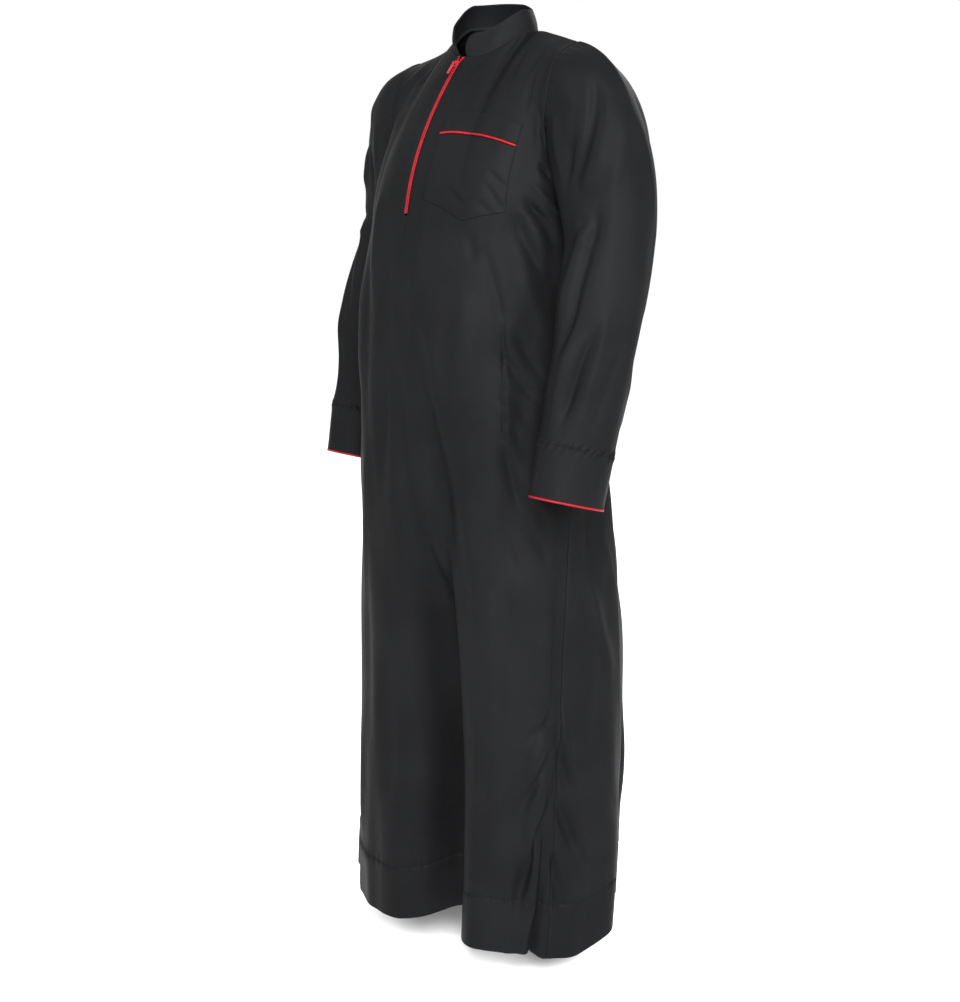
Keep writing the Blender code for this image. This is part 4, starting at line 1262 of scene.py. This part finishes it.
class THOBE_OT_body(bpy.types.Operator):
    """Adds the front and the back, with the slit for the zip and the hem"""

    bl_idname = "thobe.body"
    bl_label = "Body"

    def execute(self, context):
        settings = context.scene.thobe_cloth
        for face, name in ((-1, "front"), (1, "back")):
            half = half_columns((SLIT_GIRTH, 0.0) if face < 0 else ())
            across = np.concatenate([-half[::-1], half if face < 0 else half[1:]])
            across, down, lift = self.with_allowance(across, panel_rows())
            points, _ = on_body(face, across, down, lift)
            z = points[..., 2]
            index = np.arange(z.size).reshape(z.shape)
            gap = len(half) if face < 0 else -1
            if face < 0:
                # below the slit both sides share the middle column
                closed = down[:, 0] > SLIT_CLOSED_DOWN - 1e-4
                index[closed, gap + 1] = index[closed, gap]
            cut = np.stack([girth_of(face, across) * girth_metres(z), z], axis=-1)
            wear = body_wear(face, across, down, z)
            mesh = grid_mesh(f"{name}_cloth", points, cut, wear, flip=face > 0, index=index, gap=gap)
            piece = cloth_piece(mesh, name, settings, settings.thickness)
            finish_piece(piece, "cloth", name)
        return {"FINISHED"}

    def with_allowance(self, across, down):
        """Adds a column at each side and a row at the top, turned in as seam allowances."""
        across = np.concatenate([across[:1], across, across[-1:]])[None, :]
        down = np.concatenate([down[:1], down])[:, None]
        lift = np.zeros((down.size, across.size))
        lift[0] = -ALLOWANCE * ease(np.abs(across), NECK_SHARE, NECK_SHARE + 0.03)
        lift[:, 0] = lift[:, -1] = -ALLOWANCE
        return across, down, lift


class THOBE_OT_sleeves(bpy.types.Operator):
    """Adds the two set-in sleeves"""

    bl_idname = "thobe.sleeves"
    bl_label = "Sleeves"

    def execute(self, context):
        settings = context.scene.thobe_cloth
        turn = np.arange(SLEEVE_COLUMNS) / SLEEVE_COLUMNS
        line = 2 - CUFF_DEPTH / ARM_LENGTH
        cap = spread(0, 1, CAP_ROWS, (0,), (0.004, 0.009, 0.016, 0.026))
        arm = spread(1, 2, ARM_ROWS, (line, 2), (0.0, 0.003, 0.006, 0.011, 0.018))
        down = np.concatenate([cap[:1], cap, arm[1:]])[:, None]
        lift = np.where(np.arange(len(down)) == 0, -ALLOWANCE, 0.0)[:, None]
        wear = np.exp(-np.minimum(down * CAP_LENGTH, (2 - down) * ARM_LENGTH) / WEAR_REACH)
        for side, name in ((1, "sleeve_left"), (-1, "sleeve_right")):
            points, _ = on_sleeve(side, turn, down, lift)
            z = np.append(points[..., 2], points[:, :1, 2], axis=1)
            cut = np.stack([np.append(turn, 1.0) * turn_metres(z), z], axis=-1)
            mesh = grid_mesh(f"{name}_cloth", points, cut, wear, closed=True, flip=side > 0)
            piece = cloth_piece(mesh, name, settings, settings.thickness)
            finish_piece(piece, "cloth", name)
        return {"FINISHED"}


def collar_base(count):
    """The neck seam from the slit's left side round the back to its right side."""
    share = np.linspace(0, NECK_SHARE, count)
    left = np.vstack([top_edge(-1, share), top_edge(1, share)[-2::-1]])
    base = settle(np.vstack([left, left[-2::-1] * np.array([-1, 1, 1])]))
    apart = slit_spread(share, 0.0)
    base[:count, 0] += apart
    base[-count:, 0] -= apart[::-1]
    return base


def collar_points(up):
    """Points of the band collar at shares of its height, its columns' places along the seam and height."""
    base = collar_base(40)
    along = np.concatenate([[0], np.cumsum(length(np.diff(base, axis=0))[:, 0])])
    from_end = np.minimum(along, along[-1] - along)
    part = np.clip(1 - from_end / COLLAR_END_RADIUS, 0, 1)
    height = COLLAR_END_HEIGHT + (COLLAR_HEIGHT - COLLAR_END_HEIGHT) * np.sqrt(1 - part**2)
    lean = (np.array([0, COLLAR_CENTRE_Y, 0]) - base) * np.array([1, 1, 0]) * COLLAR_LEAN
    upright = lean * (height / COLLAR_HEIGHT)[:, None] + stack(0, 0, height)
    upright[:, 0] += COLLAR_FLARE_LEFT * ease(along, COLLAR_FLARE_REACH, 0)
    upright[:, 0] += COLLAR_FLARE_RIGHT * ease(along[-1] - along, COLLAR_FLARE_REACH, 0)
    ripple = 0.0005 * np.sin(along / 0.0075 + 1.4 * np.sin(along / 0.03))[:, None]
    up = up[:, None, None]
    bow = 0.0016 * np.sin(np.pi * up) + ripple * np.sin(np.pi * up) ** 2 - 0.0012 * ease(up, 0, -0.1)
    points = base + upright * up - lean / length(lean) * bow
    points[..., 2] += SEAM_GAP
    return points, along, height


class THOBE_OT_collar(bpy.types.Operator):
    """Adds the band collar, open at the front with rounded ends"""

    bl_idname = "thobe.collar"
    bl_label = "Collar"

    def execute(self, context):
        settings = context.scene.thobe_cloth
        edges = [-0.14, -0.06, 0, 0.02, 0.05, 0.86, 0.9, 0.94, 0.975, 1.0]
        up = np.union1d(edges, np.linspace(0.1, 0.8, 8))
        points, along, height = collar_points(up)
        up = up[:, None]
        cut = np.stack(np.broadcast_arrays(along + 0.3, up * height), axis=-1)
        from_end = np.minimum(along, along[-1] - along)
        nearest = np.minimum(np.minimum(up, 1 - up) * height, from_end)
        mesh = grid_mesh("collar_cloth", points, cut, np.exp(-nearest / 0.002), flip=True)
        piece = cloth_piece(mesh, "collar", settings, 2 * settings.thickness)
        round_edges(piece, 0.0006, 50)
        finish_piece(piece, "cloth", "collar")
        return {"FINISHED"}


POCKET_WIDE = POCKET_OUTER_X - POCKET_INNER_X
BAND_BOTTOM_Z = POCKET_TOP_Z - POCKET_BAND
PIPING_TOP_Z = BAND_BOTTOM_Z - SEAM_GAP
POCKET_BODY_Z = PIPING_TOP_Z - PIPING - SEAM_GAP


def pocket_height(z, x):
    """The height at x of a slanting, slightly bowed level of the chest pocket."""
    share = (x - POCKET_INNER_X) / POCKET_WIDE
    return z - POCKET_SLOPE * POCKET_WIDE * share + 4 * POCKET_BOW * share * (1 - share)


def pocket_bottom(x):
    """The pointed lower edge of the chest pocket."""
    places = (POCKET_INNER_X, POCKET_POINT_X, POCKET_OUTER_X)
    return pocket_height(np.interp(x, places, (POCKET_SIDE_Z, POCKET_POINT_Z, POCKET_SIDE_Z)), x)


def pocket_sheet(name, top_z, bottom, rows, puff, settings):
    """A flat piece laid on the front from a level down to a lower edge, with turned-in sides."""
    near = (0.0, 0.010, 0.022)
    share = spread(0, 1, 48, (0, 1, (POCKET_POINT_X - POCKET_INNER_X) / POCKET_WIDE), near)
    drop = spread(0, 1, rows, (0, 1), near)[:, None]
    x = POCKET_INNER_X + share * POCKET_WIDE
    top = pocket_height(top_z, x)
    tall = top - bottom(x)
    z = top - drop * tall
    side_off = np.minimum(share, 1 - share) * POCKET_WIDE
    end_off = np.minimum(drop, 1 - drop) * tall
    nearest = np.minimum(side_off, end_off)
    x = np.broadcast_to(x, z.shape)
    swell = puff * ease(side_off, 0.002, 0.03) * ease(end_off, 0.002, 0.03)
    groove = 0.0003 * ridge(nearest - POCKET_INSET, 0.0010) + 0.0008 * np.exp(-nearest / 0.0008)
    points, _ = on_body(-1, *find_on_front(x, z), POCKET_LIFT + POCKET_CLOTH + swell - groove)
    mesh = grid_mesh(name, points, np.stack([x, z], axis=-1), np.exp(-nearest / 0.0016))
    return cloth_piece(mesh, name, settings, POCKET_CLOTH)


class THOBE_OT_pocket(bpy.types.Operator):
    """Adds the chest pocket and the band across its top"""

    bl_idname = "thobe.pocket"
    bl_label = "Chest pocket"

    def execute(self, context):
        settings = context.scene.thobe_cloth
        body = pocket_sheet("chest_pocket_cloth", POCKET_BODY_Z, pocket_bottom, 46, 0.0016, settings)
        finish_piece(body, "cloth", "chest_pocket")
        band = pocket_sheet(
            "chest_pocket_band_cloth", POCKET_TOP_Z, lambda x: pocket_height(BAND_BOTTOM_Z, x), 16,
            0.0006, settings,
        )
        finish_piece(band, "cloth", "chest_pocket_band")
        return {"FINISHED"}


class THOBE_OT_piping(bpy.types.Operator):
    """Adds the red piping of the chest pocket and of both cuffs"""

    bl_idname = "thobe.piping"
    bl_label = "Piping"

    def execute(self, context):
        paint = piping_paint("red satin piping", context.scene.thobe_trim.color)
        x = np.linspace(POCKET_INNER_X + 0.0004, POCKET_OUTER_X - 0.0004, 90)
        place = find_on_front(x, pocket_height(PIPING_TOP_Z - PIPING / 2, x))
        path, outs = on_body(-1, *place, POCKET_LIFT + PIPING / 2)
        ends = np.minimum(x - x[0], x[-1] - x) / PIPING
        radius = PIPING / 2 * np.sqrt(1 - (1 - np.clip(2 * ends, 0.25, 1)) ** 2)
        radius = radius * (1 + 0.03 * np.sin(x / 0.0021) + 0.03 * np.sin(x / 0.0047))
        piece = link(tube_mesh("pocket_piping_cord", path, outs, radius, 14), paint)
        finish_piece(piece, "piping", "pocket_piping")
        turn = np.arange(180) / 180
        around = turn * 2 * np.pi
        radius = PIPING / 2 * (1 + 0.03 * np.sin(around * 41) + 0.02 * np.sin(around * 97))
        for side, name in ((1, "cuff_piping_left"), (-1, "cuff_piping_right")):
            edge, outs = on_sleeve(side, turn, 2.0)
            along = edge - on_sleeve(side, turn, 1.985)[0]
            path = edge + along / length(along) * (PIPING / 2 - 0.0002) - outs * CLOTH / 2
            piece = link(tube_mesh(f"{name}_cord", path, outs, radius, 12, closed=True), paint)
            finish_piece(piece, "piping", name)
        return {"FINISHED"}


def zip_place(down):
    """Points on the front's centre line, with the ways down along it and out of the cloth."""
    step = 1e-3
    along = panel(-1, 0.0, down + step) - panel(-1, 0.0, down - step)
    along /= length(along)
    return panel(-1, 0.0, down), along, np.cross(along, np.array([1.0, 0, 0]))


# A tooth's lower and upper ends: from and to beside the centre line, width in pitches, and height

TOOTH_ENDS = ((-0.0009, 0.0021, 0.62, -0.0004), (-0.0006, 0.0018, 0.42, 0.0009))
TOOTH_FACES = ((0, 1, 5, 4), (1, 2, 6, 5), (2, 3, 7, 6), (3, 0, 4, 7), (3, 2, 1, 0), (4, 5, 6, 7))


class THOBE_OT_zip(bpy.types.Operator):
    """Adds the zip's woven tapes and its closed row of teeth"""

    bl_idname = "thobe.zip"
    bl_label = "Zip"

    def execute(self, context):
        trim = context.scene.thobe_trim
        paint = piping_paint("red zip tape", trim.color)
        down = np.linspace(*ZIP_ENDS_DOWN, 110)
        here, _, outs = zip_place(down)
        path = here + outs * (ZIP_PROUD - 0.0004 + chest_out(down))[:, None]
        apart = fall_open(down)
        tape = link(self.tape_mesh(path, outs, apart), paint)
        thicken(tape, 0.0009)
        finish_piece(tape, "piping", "zip_strip")
        teeth = link(self.teeth_mesh(path, outs, apart, trim.tooth_pitch), paint)
        round_edges(teeth, 0.00018)
        finish_piece(teeth, "piping")
        return {"FINISHED"}

    def tape_mesh(self, path, outs, apart):
        """Two crowned tapes side by side."""
        x = np.array([0.03, 0.5, 0.55, 0.86, 1.0]) * ZIP_HALF
        crown = np.array([-0.0004, -0.0004, 0, -0.0001, -0.0008])
        x = np.concatenate([-x[::-1], x])
        crown = np.concatenate([crown[::-1], crown])
        points = path[:, None] + outs[:, None] * crown[:, None] + stack(x, 0, 0)
        points[..., 0] += apart[:, None] * np.sign(x)
        cut = np.stack(np.broadcast_arrays(x, path[:, 2:]), axis=-1)
        return grid_mesh("zip_tape", points, cut, gap=4)

    def teeth_mesh(self, path, outs, apart, pitch):
        """Tapered teeth that reach past the centre line from each side in turn."""
        corners = []
        faces = []
        for index, (middle, ahead, out) in enumerate(walk(path, outs, pitch)):
            side = 1 if index % 2 else -1
            beside = np.array([side, 0, 0])
            middle = middle + beside * np.interp(-middle[2], -path[:, 2], apart)
            faces += [[len(corners) + corner for corner in face[::-side]] for face in TOOTH_FACES]
            for near, far, wide, level in TOOTH_ENDS:
                for reach, way in ((near, -1), (far, -1), (far, 1), (near, 1)):
                    corners.append(middle + beside * reach + ahead * way * pitch * wide + out * level)
        return new_mesh("zip_teeth", corners, faces, smooth=False)


def wall(shape, *loops):
    """Adds a ring of faces to a bmesh from each loop of its vertices to the next."""
    for near, far in zip(loops, loops[1:]):
        for corners in zip(near, near[1:] + near[:1], far[1:] + far[:1], far):
            shape.faces.new(corners)


def outline_solid(shape, outline, low, high, matrix=Matrix.Identity(4)):
    """Adds a solid between two levels over a flat outline to a bmesh."""
    lower, upper = (
        [shape.verts.new(matrix @ Vector((x, y, level))) for x, y in outline] for level in (low, high)
    )
    shape.faces.new(lower[::-1])
    shape.faces.new(upper)
    wall(shape, lower, upper)


def lying(x, z):
    """Turns an outline on its side, so that its solid runs across the zip at a height."""
    return Matrix(((0, 0, 1, x), (1, 0, 0, 0), (0, 1, 0, z), (0, 0, 0, 1)))


def shape_mesh(name, shape):
    """A mesh from a bmesh, with its faces turned outwards."""
    bmesh.ops.recalc_face_normals(shape, faces=shape.faces)
    mesh = bpy.data.meshes.new(name)
    shape.to_mesh(mesh)
    shape.free()
    return mesh


def slider_mesh():
    """The slider: a waisted body with a notch at its top, two lugs and a pin with rivet heads."""
    half, tall = SLIDER_SIZE[0] / 2, SLIDER_SIZE[1] / 2
    right = [(0.55, -1.0), (0.78, -0.72), (0.74, -0.2), (0.92, 0.35), (1.0, 0.72), (0.86, 1.0), (0.30, 1.0)]
    outline = [*right, (0.0, 0.62), *((-x, y) for x, y in right[::-1])]
    shape = bmesh.new()
    outline_solid(shape, [(x * half, y * tall) for x, y in outline], 0.0, SLIDER_SIZE[2])
    sharp = [edge for edge in shape.edges if edge.calc_face_angle() > 0.6]
    bmesh.ops.bevel(shape, geom=sharp, offset=0.0004, segments=2, affect="EDGES", clamp_overlap=True)
    wide, deep = (size / 2 for size in LUG_SIZE)
    lug_top = PIN_HEIGHT + PIN_RADIUS
    foot = SLIDER_SIZE[2] - 0.0003
    ear = [(deep * np.cos(a), lug_top - 0.7 * deep * (1 - np.sin(a))) for a in np.linspace(0, np.pi, 9)]
    for side in (-1, 1):
        ends = [(deep * 1.15, foot), *ear, (-deep * 1.15, foot)]
        outline_solid(shape, ends, -wide, wide, lying(side * LUG_X, 0))
    reach = LUG_X + wide
    for radius, low, high in (
        (PIN_RADIUS, -reach, reach),
        (1.7 * PIN_RADIUS, -reach - 0.0002, -reach + 0.0002),
        (1.7 * PIN_RADIUS, reach - 0.0002, reach + 0.0002),
    ):
        circle = [(radius * np.cos(a), radius * np.sin(a)) for a in np.linspace(0, 2 * np.pi, 17)[:-1]]
        outline_solid(shape, circle, low, high, lying(0, PIN_HEIGHT))
    return shape_mesh("zip_slider_body", shape)


def pull_mesh():
    """The pull: an eye round the pin, a neck, and a plate with a rounded end and a raised rim."""
    shape = bmesh.new()

    def loop(points):
        """Vertices at the points."""
        return [shape.verts.new(point) for point in points]

    rim = EYE_WIDTH / 2
    profile = [(EYE_HOLE_RADIUS, -rim + 0.0001), (EYE_RADIUS - 0.0002, -rim), (EYE_RADIUS, -rim + 0.0002)]
    profile += [(r, -x) for r, x in profile[::-1]]
    turns = np.linspace(0, 2 * np.pi, 25)[:-1]
    eye = [loop((x, r * np.cos(a), r * np.sin(a)) for a in turns) for r, x in profile]
    wall(shape, *eye, eye[0])
    half, thick = PULL_SIZE[0] / 2, PULL_SIZE[2] / 2
    top_y = -EYE_RADIUS - 0.0010
    bottom_y = top_y - PULL_SIZE[1] + 0.0012
    centre_y = (top_y + bottom_y) / 2
    end = [(half * np.sin(a), bottom_y + half * (1 - np.cos(a))) for a in np.linspace(-1.35, 1.35, 13)]
    right = [(half * 0.92, top_y - 0.0018), (0.0017, top_y + 0.0002), (0.0017, EYE_RADIUS * -0.75)]
    outer = [*((-x, y) for x, y in right[::-1]), *end, *right]
    inner = [(x * 0.62, min(centre_y + (y - centre_y) * 0.80, top_y - 0.001)) for x, y in outer]
    plate = [
        loop((x * wide, y, z) for x, y in outline)
        for outline, wide, z in (
            (inner, 1, -thick), (outer, 1, -thick), (outer, 1, thick), (inner, 1, thick),
            (inner, 0.93, thick - 0.00035),
        )
    ]
    wall(shape, *plate)
    shape.faces.new(plate[-1])
    shape.faces.new(plate[0][::-1])
    return shape_mesh("zip_pull_tab", shape)


class THOBE_OT_slider(bpy.types.Operator):
    """Adds the zip's slider and its hinged pull"""

    bl_idname = "thobe.slider"
    bl_label = "Slider and pull"

    def execute(self, context):
        here, along, out = zip_place(SLIDER_DOWN)
        here = here + out * (ZIP_PROUD + SEAM_GAP)
        turn = Matrix((Vector((1, 0, 0)), Vector(-along), Vector(out))).transposed().to_4x4()
        place = Matrix.Translation(here) @ turn
        paint = enamel_paint("red enamelled metal", context.scene.thobe_trim.enamel)
        slider = link(slider_mesh(), paint)
        slider.matrix_world = place
        slider.data.set_sharp_from_angle(angle=np.radians(40))
        finish_piece(slider, "zip_metal", "zip_slider")
        pull = link(pull_mesh(), paint)
        pull.matrix_world = place @ Matrix.Translation((0, 0, PIN_HEIGHT))
        round_edges(pull, 0.0002, 40)
        weld(pull)
        finish_piece(pull, "zip_metal", "zip_pull", body="pull_tab")
        return {"FINISHED"}


class THOBE_OT_stitching(bpy.types.Operator):
    """Adds the topstitching of the hem, cuffs, collar, zip, chest pocket and side pockets"""

    bl_idname = "thobe.stitching"
    bl_label = "Stitching"

    def execute(self, context):
        trim = context.scene.thobe_trim
        paint = thread_paint("black thread", trim.thread)
        pitch = trim.stitch_pitch
        across = np.linspace(-0.995, 0.995, 400)
        hem = 2 - HEM_DEPTH / (CHEST_Z - HEM_Z)
        down = np.linspace(0.03, 1.0, 160)
        beside_zip = (-ZIP_STITCH_ACROSS, ZIP_STITCH_ACROSS)
        for name, pitch, runs in (
            ("hem_stitching", 1.6 * pitch, [on_body(face, across, hem, THREAD_LIFT) for face in (-1, 1)]),
            ("cuff_stitching_left", pitch, self.cuff_runs(1)),
            ("cuff_stitching_right", pitch, self.cuff_runs(-1)),
            ("collar_stitching", pitch, self.collar_runs()),
            ("zip_stitching", pitch, [on_body(-1, place, down, THREAD_LIFT) for place in beside_zip]),
            ("pocket_stitching", pitch, self.pocket_runs()),
            ("side_pocket_stitching_left", pitch, self.slit_runs(1)),
            ("side_pocket_stitching_right", pitch, self.slit_runs(-1)),
        ):
            finish_piece(link(stitch_mesh(name, runs, pitch, THREAD_RADIUS), paint), "cloth")
        return {"FINISHED"}

    def cuff_runs(self, side):
        """Stitched lines round a sleeve, at the top of its cuff and at its edge."""
        turn = np.linspace(0, 1, 240)
        offs = (CUFF_DEPTH, CUFF_EDGE_INSET)
        return [on_sleeve(side, turn, 2 - off / ARM_LENGTH, THREAD_LIFT) for off in offs]

    def collar_runs(self):
        """Stitched lines along the collar's two long edges."""
        (base, top), along, _ = collar_points(np.array([0.0, 1.0]))
        outward = (base - np.array([0, COLLAR_CENTRE_Y, 0])) * np.array([1, 1, 0])
        outward /= length(outward)
        up = (top - base) / length(top - base) * COLLAR_INSET
        keep = (along > COLLAR_INSET) & (along < along[-1] - COLLAR_INSET)
        return [
            ((line + outward * 0.0004)[keep], outward[keep]) for line in (top - up, base + up * 0.7)
        ]

    def pocket_runs(self):
        """Stitched lines round the chest pocket, inside its edges."""
        low_x, high_x = POCKET_INNER_X + POCKET_INSET, POCKET_OUTER_X - POCKET_INSET
        x = np.linspace(low_x, high_x, 90)
        bottom = pocket_bottom(x) + POCKET_INSET
        top = pocket_height(POCKET_BODY_Z, x)
        lines = [(
            np.concatenate([np.full(60, low_x), x, np.full(60, high_x)]),
            np.concatenate([
                np.linspace(top[0], bottom[0], 60), bottom, np.linspace(bottom[-1], top[-1], 60)
            ]),
        )]
        for level in (POCKET_TOP_Z - POCKET_INSET, BAND_BOTTOM_Z + 0.0016, POCKET_BODY_Z - 0.0016):
            lines.append((x, pocket_height(level, x)))
        for edge in (low_x, high_x):
            ends = (pocket_height(level, edge) for level in (POCKET_TOP_Z, BAND_BOTTOM_Z))
            lines.append((np.full(20, edge), np.linspace(*ends, 20)))
        lift = POCKET_LIFT + POCKET_CLOTH - 0.0003
        return [on_body(-1, *find_on_front(*line), lift) for line in lines]

    def slit_runs(self, side):
        """Stitched lines beside a side pocket's slit, and the bars at its two ends."""

        def line(off, z, level, lift):
            """A stitched line at distances from the slit, as they are at a level."""
            across = side * (SLIT_GIRTH + off / girth_metres(level))
            return on_body(-1, across, skirt_down(z, across), lift)

        z = np.linspace(SLIT_TOP_Z, SLIT_BOTTOM_Z, 60)
        runs = [line(off, z, z, THREAD_LIFT) for off in SLIT_STITCH_OFFS]
        bar = np.linspace(-0.001, 0.0085, 8)
        for end in (SLIT_TOP_Z, SLIT_BOTTOM_Z):
            for step in np.linspace(-0.0016, 0.0016, 7):
                runs.append(line(bar, end + step, end, 2 * THREAD_LIFT))
        return runs


# Lamps: their place, width and power. All aim at one point.

LAMPS = {
    "front": ((-1.5, -3.3, 1.4), 1.6, 95.0),
    "key": ((2.8, -2.2, 0.6), 1.6, 275.0),
    "key above": ((2.8, -2.2, 2.6), 1.6, 245.0),
    "side": ((3.6, 0.0, 0.8), 1.6, 155.0),
    "back": ((-1.2, 3.5, 1.4), 2.0, 45.0),
}
LAMP_AIM = Vector((0.05, 0.0, -0.55))
FLOOR_HALF = 30.0
CAMERA_LEFT = 0.0306
CAMERA_Z = -0.1099


class THOBE_OT_stage(bpy.types.Operator):
    """Adds the pale floor, the soft lights and the camera"""

    bl_idname = "thobe.stage"
    bl_label = "Stage"

    def execute(self, context):
        scene = context.scene
        settings = scene.thobe_stage
        corners = [(-1, -1), (1, -1), (1, 1), (-1, 1)]
        corners = [(x * FLOOR_HALF, y * FLOOR_HALF, settings.floor_z) for x, y in corners]
        paint = Paint("pale floor")
        paint.set(Base_Color=opaque(settings.floor_color), Roughness=1.0, Specular_IOR_Level=0.0)
        link(new_mesh("floor", corners, [(0, 1, 2, 3)], smooth=False), paint.material)
        world = bpy.data.worlds.new("soft white room")
        world.use_nodes = True
        world.node_tree.nodes["Background"].inputs["Color"].default_value = (1, 1, 1, 1)
        world.node_tree.nodes["Background"].inputs["Strength"].default_value = 1.0
        scene.world = world
        scene.view_settings.view_transform = "Standard"
        for name, (place, wide, power) in LAMPS.items():
            lamp = bpy.data.lights.new(name, "AREA")
            lamp.shape = "DISK"
            lamp.size = wide
            lamp.energy = power
            made = bpy.data.objects.new(name, lamp)
            made.location = place
            made.rotation_euler = (LAMP_AIM - made.location).to_track_quat("-Z", "Y").to_euler()
            scene.collection.objects.link(made)
        camera = bpy.data.objects.new("camera", bpy.data.cameras.new("camera"))
        camera.data.lens = settings.lens
        azimuth = settings.azimuth
        toward = Vector((np.sin(azimuth), -np.cos(azimuth), 0))
        right = Vector((np.cos(azimuth), np.sin(azimuth), 0))
        camera.location = toward * settings.distance - right * CAMERA_LEFT + Vector((0, 0, CAMERA_Z))
        camera.rotation_euler = (np.pi / 2 - settings.pitch, 0, azimuth)
        scene.collection.objects.link(camera)
        scene.camera = camera
        return {"FINISHED"}


OPERATORS = (
    THOBE_OT_body,
    THOBE_OT_sleeves,
    THOBE_OT_collar,
    THOBE_OT_pocket,
    THOBE_OT_piping,
    THOBE_OT_zip,
    THOBE_OT_slider,
    THOBE_OT_stitching,
    THOBE_OT_stage,
)


SETTINGS = {"thobe_cloth": ClothSettings, "thobe_trim": TrimSettings, "thobe_stage": StageSettings}


class THOBE_PT_panel(bpy.types.Panel):
    """Lists the garment's settings and steps"""

    bl_idname = "THOBE_PT_panel"
    bl_label = "Thobe"
    bl_space_type = "VIEW_3D"
    bl_region_type = "UI"
    bl_category = "Thobe"

    def draw(self, context):
        layout = self.layout
        for name, kind in SETTINGS.items():
            box = layout.box()
            for key in kind.__annotations__:
                box.prop(getattr(context.scene, name), key)
        for operator in OPERATORS:
            layout.operator(operator.bl_idname)


CLASSES = (*SETTINGS.values(), *OPERATORS, THOBE_PT_panel)


def register():
    """Adds the classes and the scene's settings."""
    for item in CLASSES:
        bpy.utils.register_class(item)
    for name, kind in SETTINGS.items():
        setattr(bpy.types.Scene, name, PointerProperty(type=kind))


def unregister():
    """Removes them again."""
    for name in SETTINGS:
        delattr(bpy.types.Scene, name)
    for item in reversed(CLASSES):
        bpy.utils.unregister_class(item)


def main():
    """Builds the garment and its stage."""
    register()
    bpy.ops.thobe.body()
    bpy.ops.thobe.sleeves()
    bpy.ops.thobe.collar()
    bpy.ops.thobe.pocket()
    bpy.ops.thobe.piping()
    bpy.ops.thobe.zip()
    bpy.ops.thobe.slider()
    bpy.ops.thobe.stitching()
    bpy.ops.thobe.stage()
    bpy.context.view_layer.update()


if __name__ == "__main__":
    main()
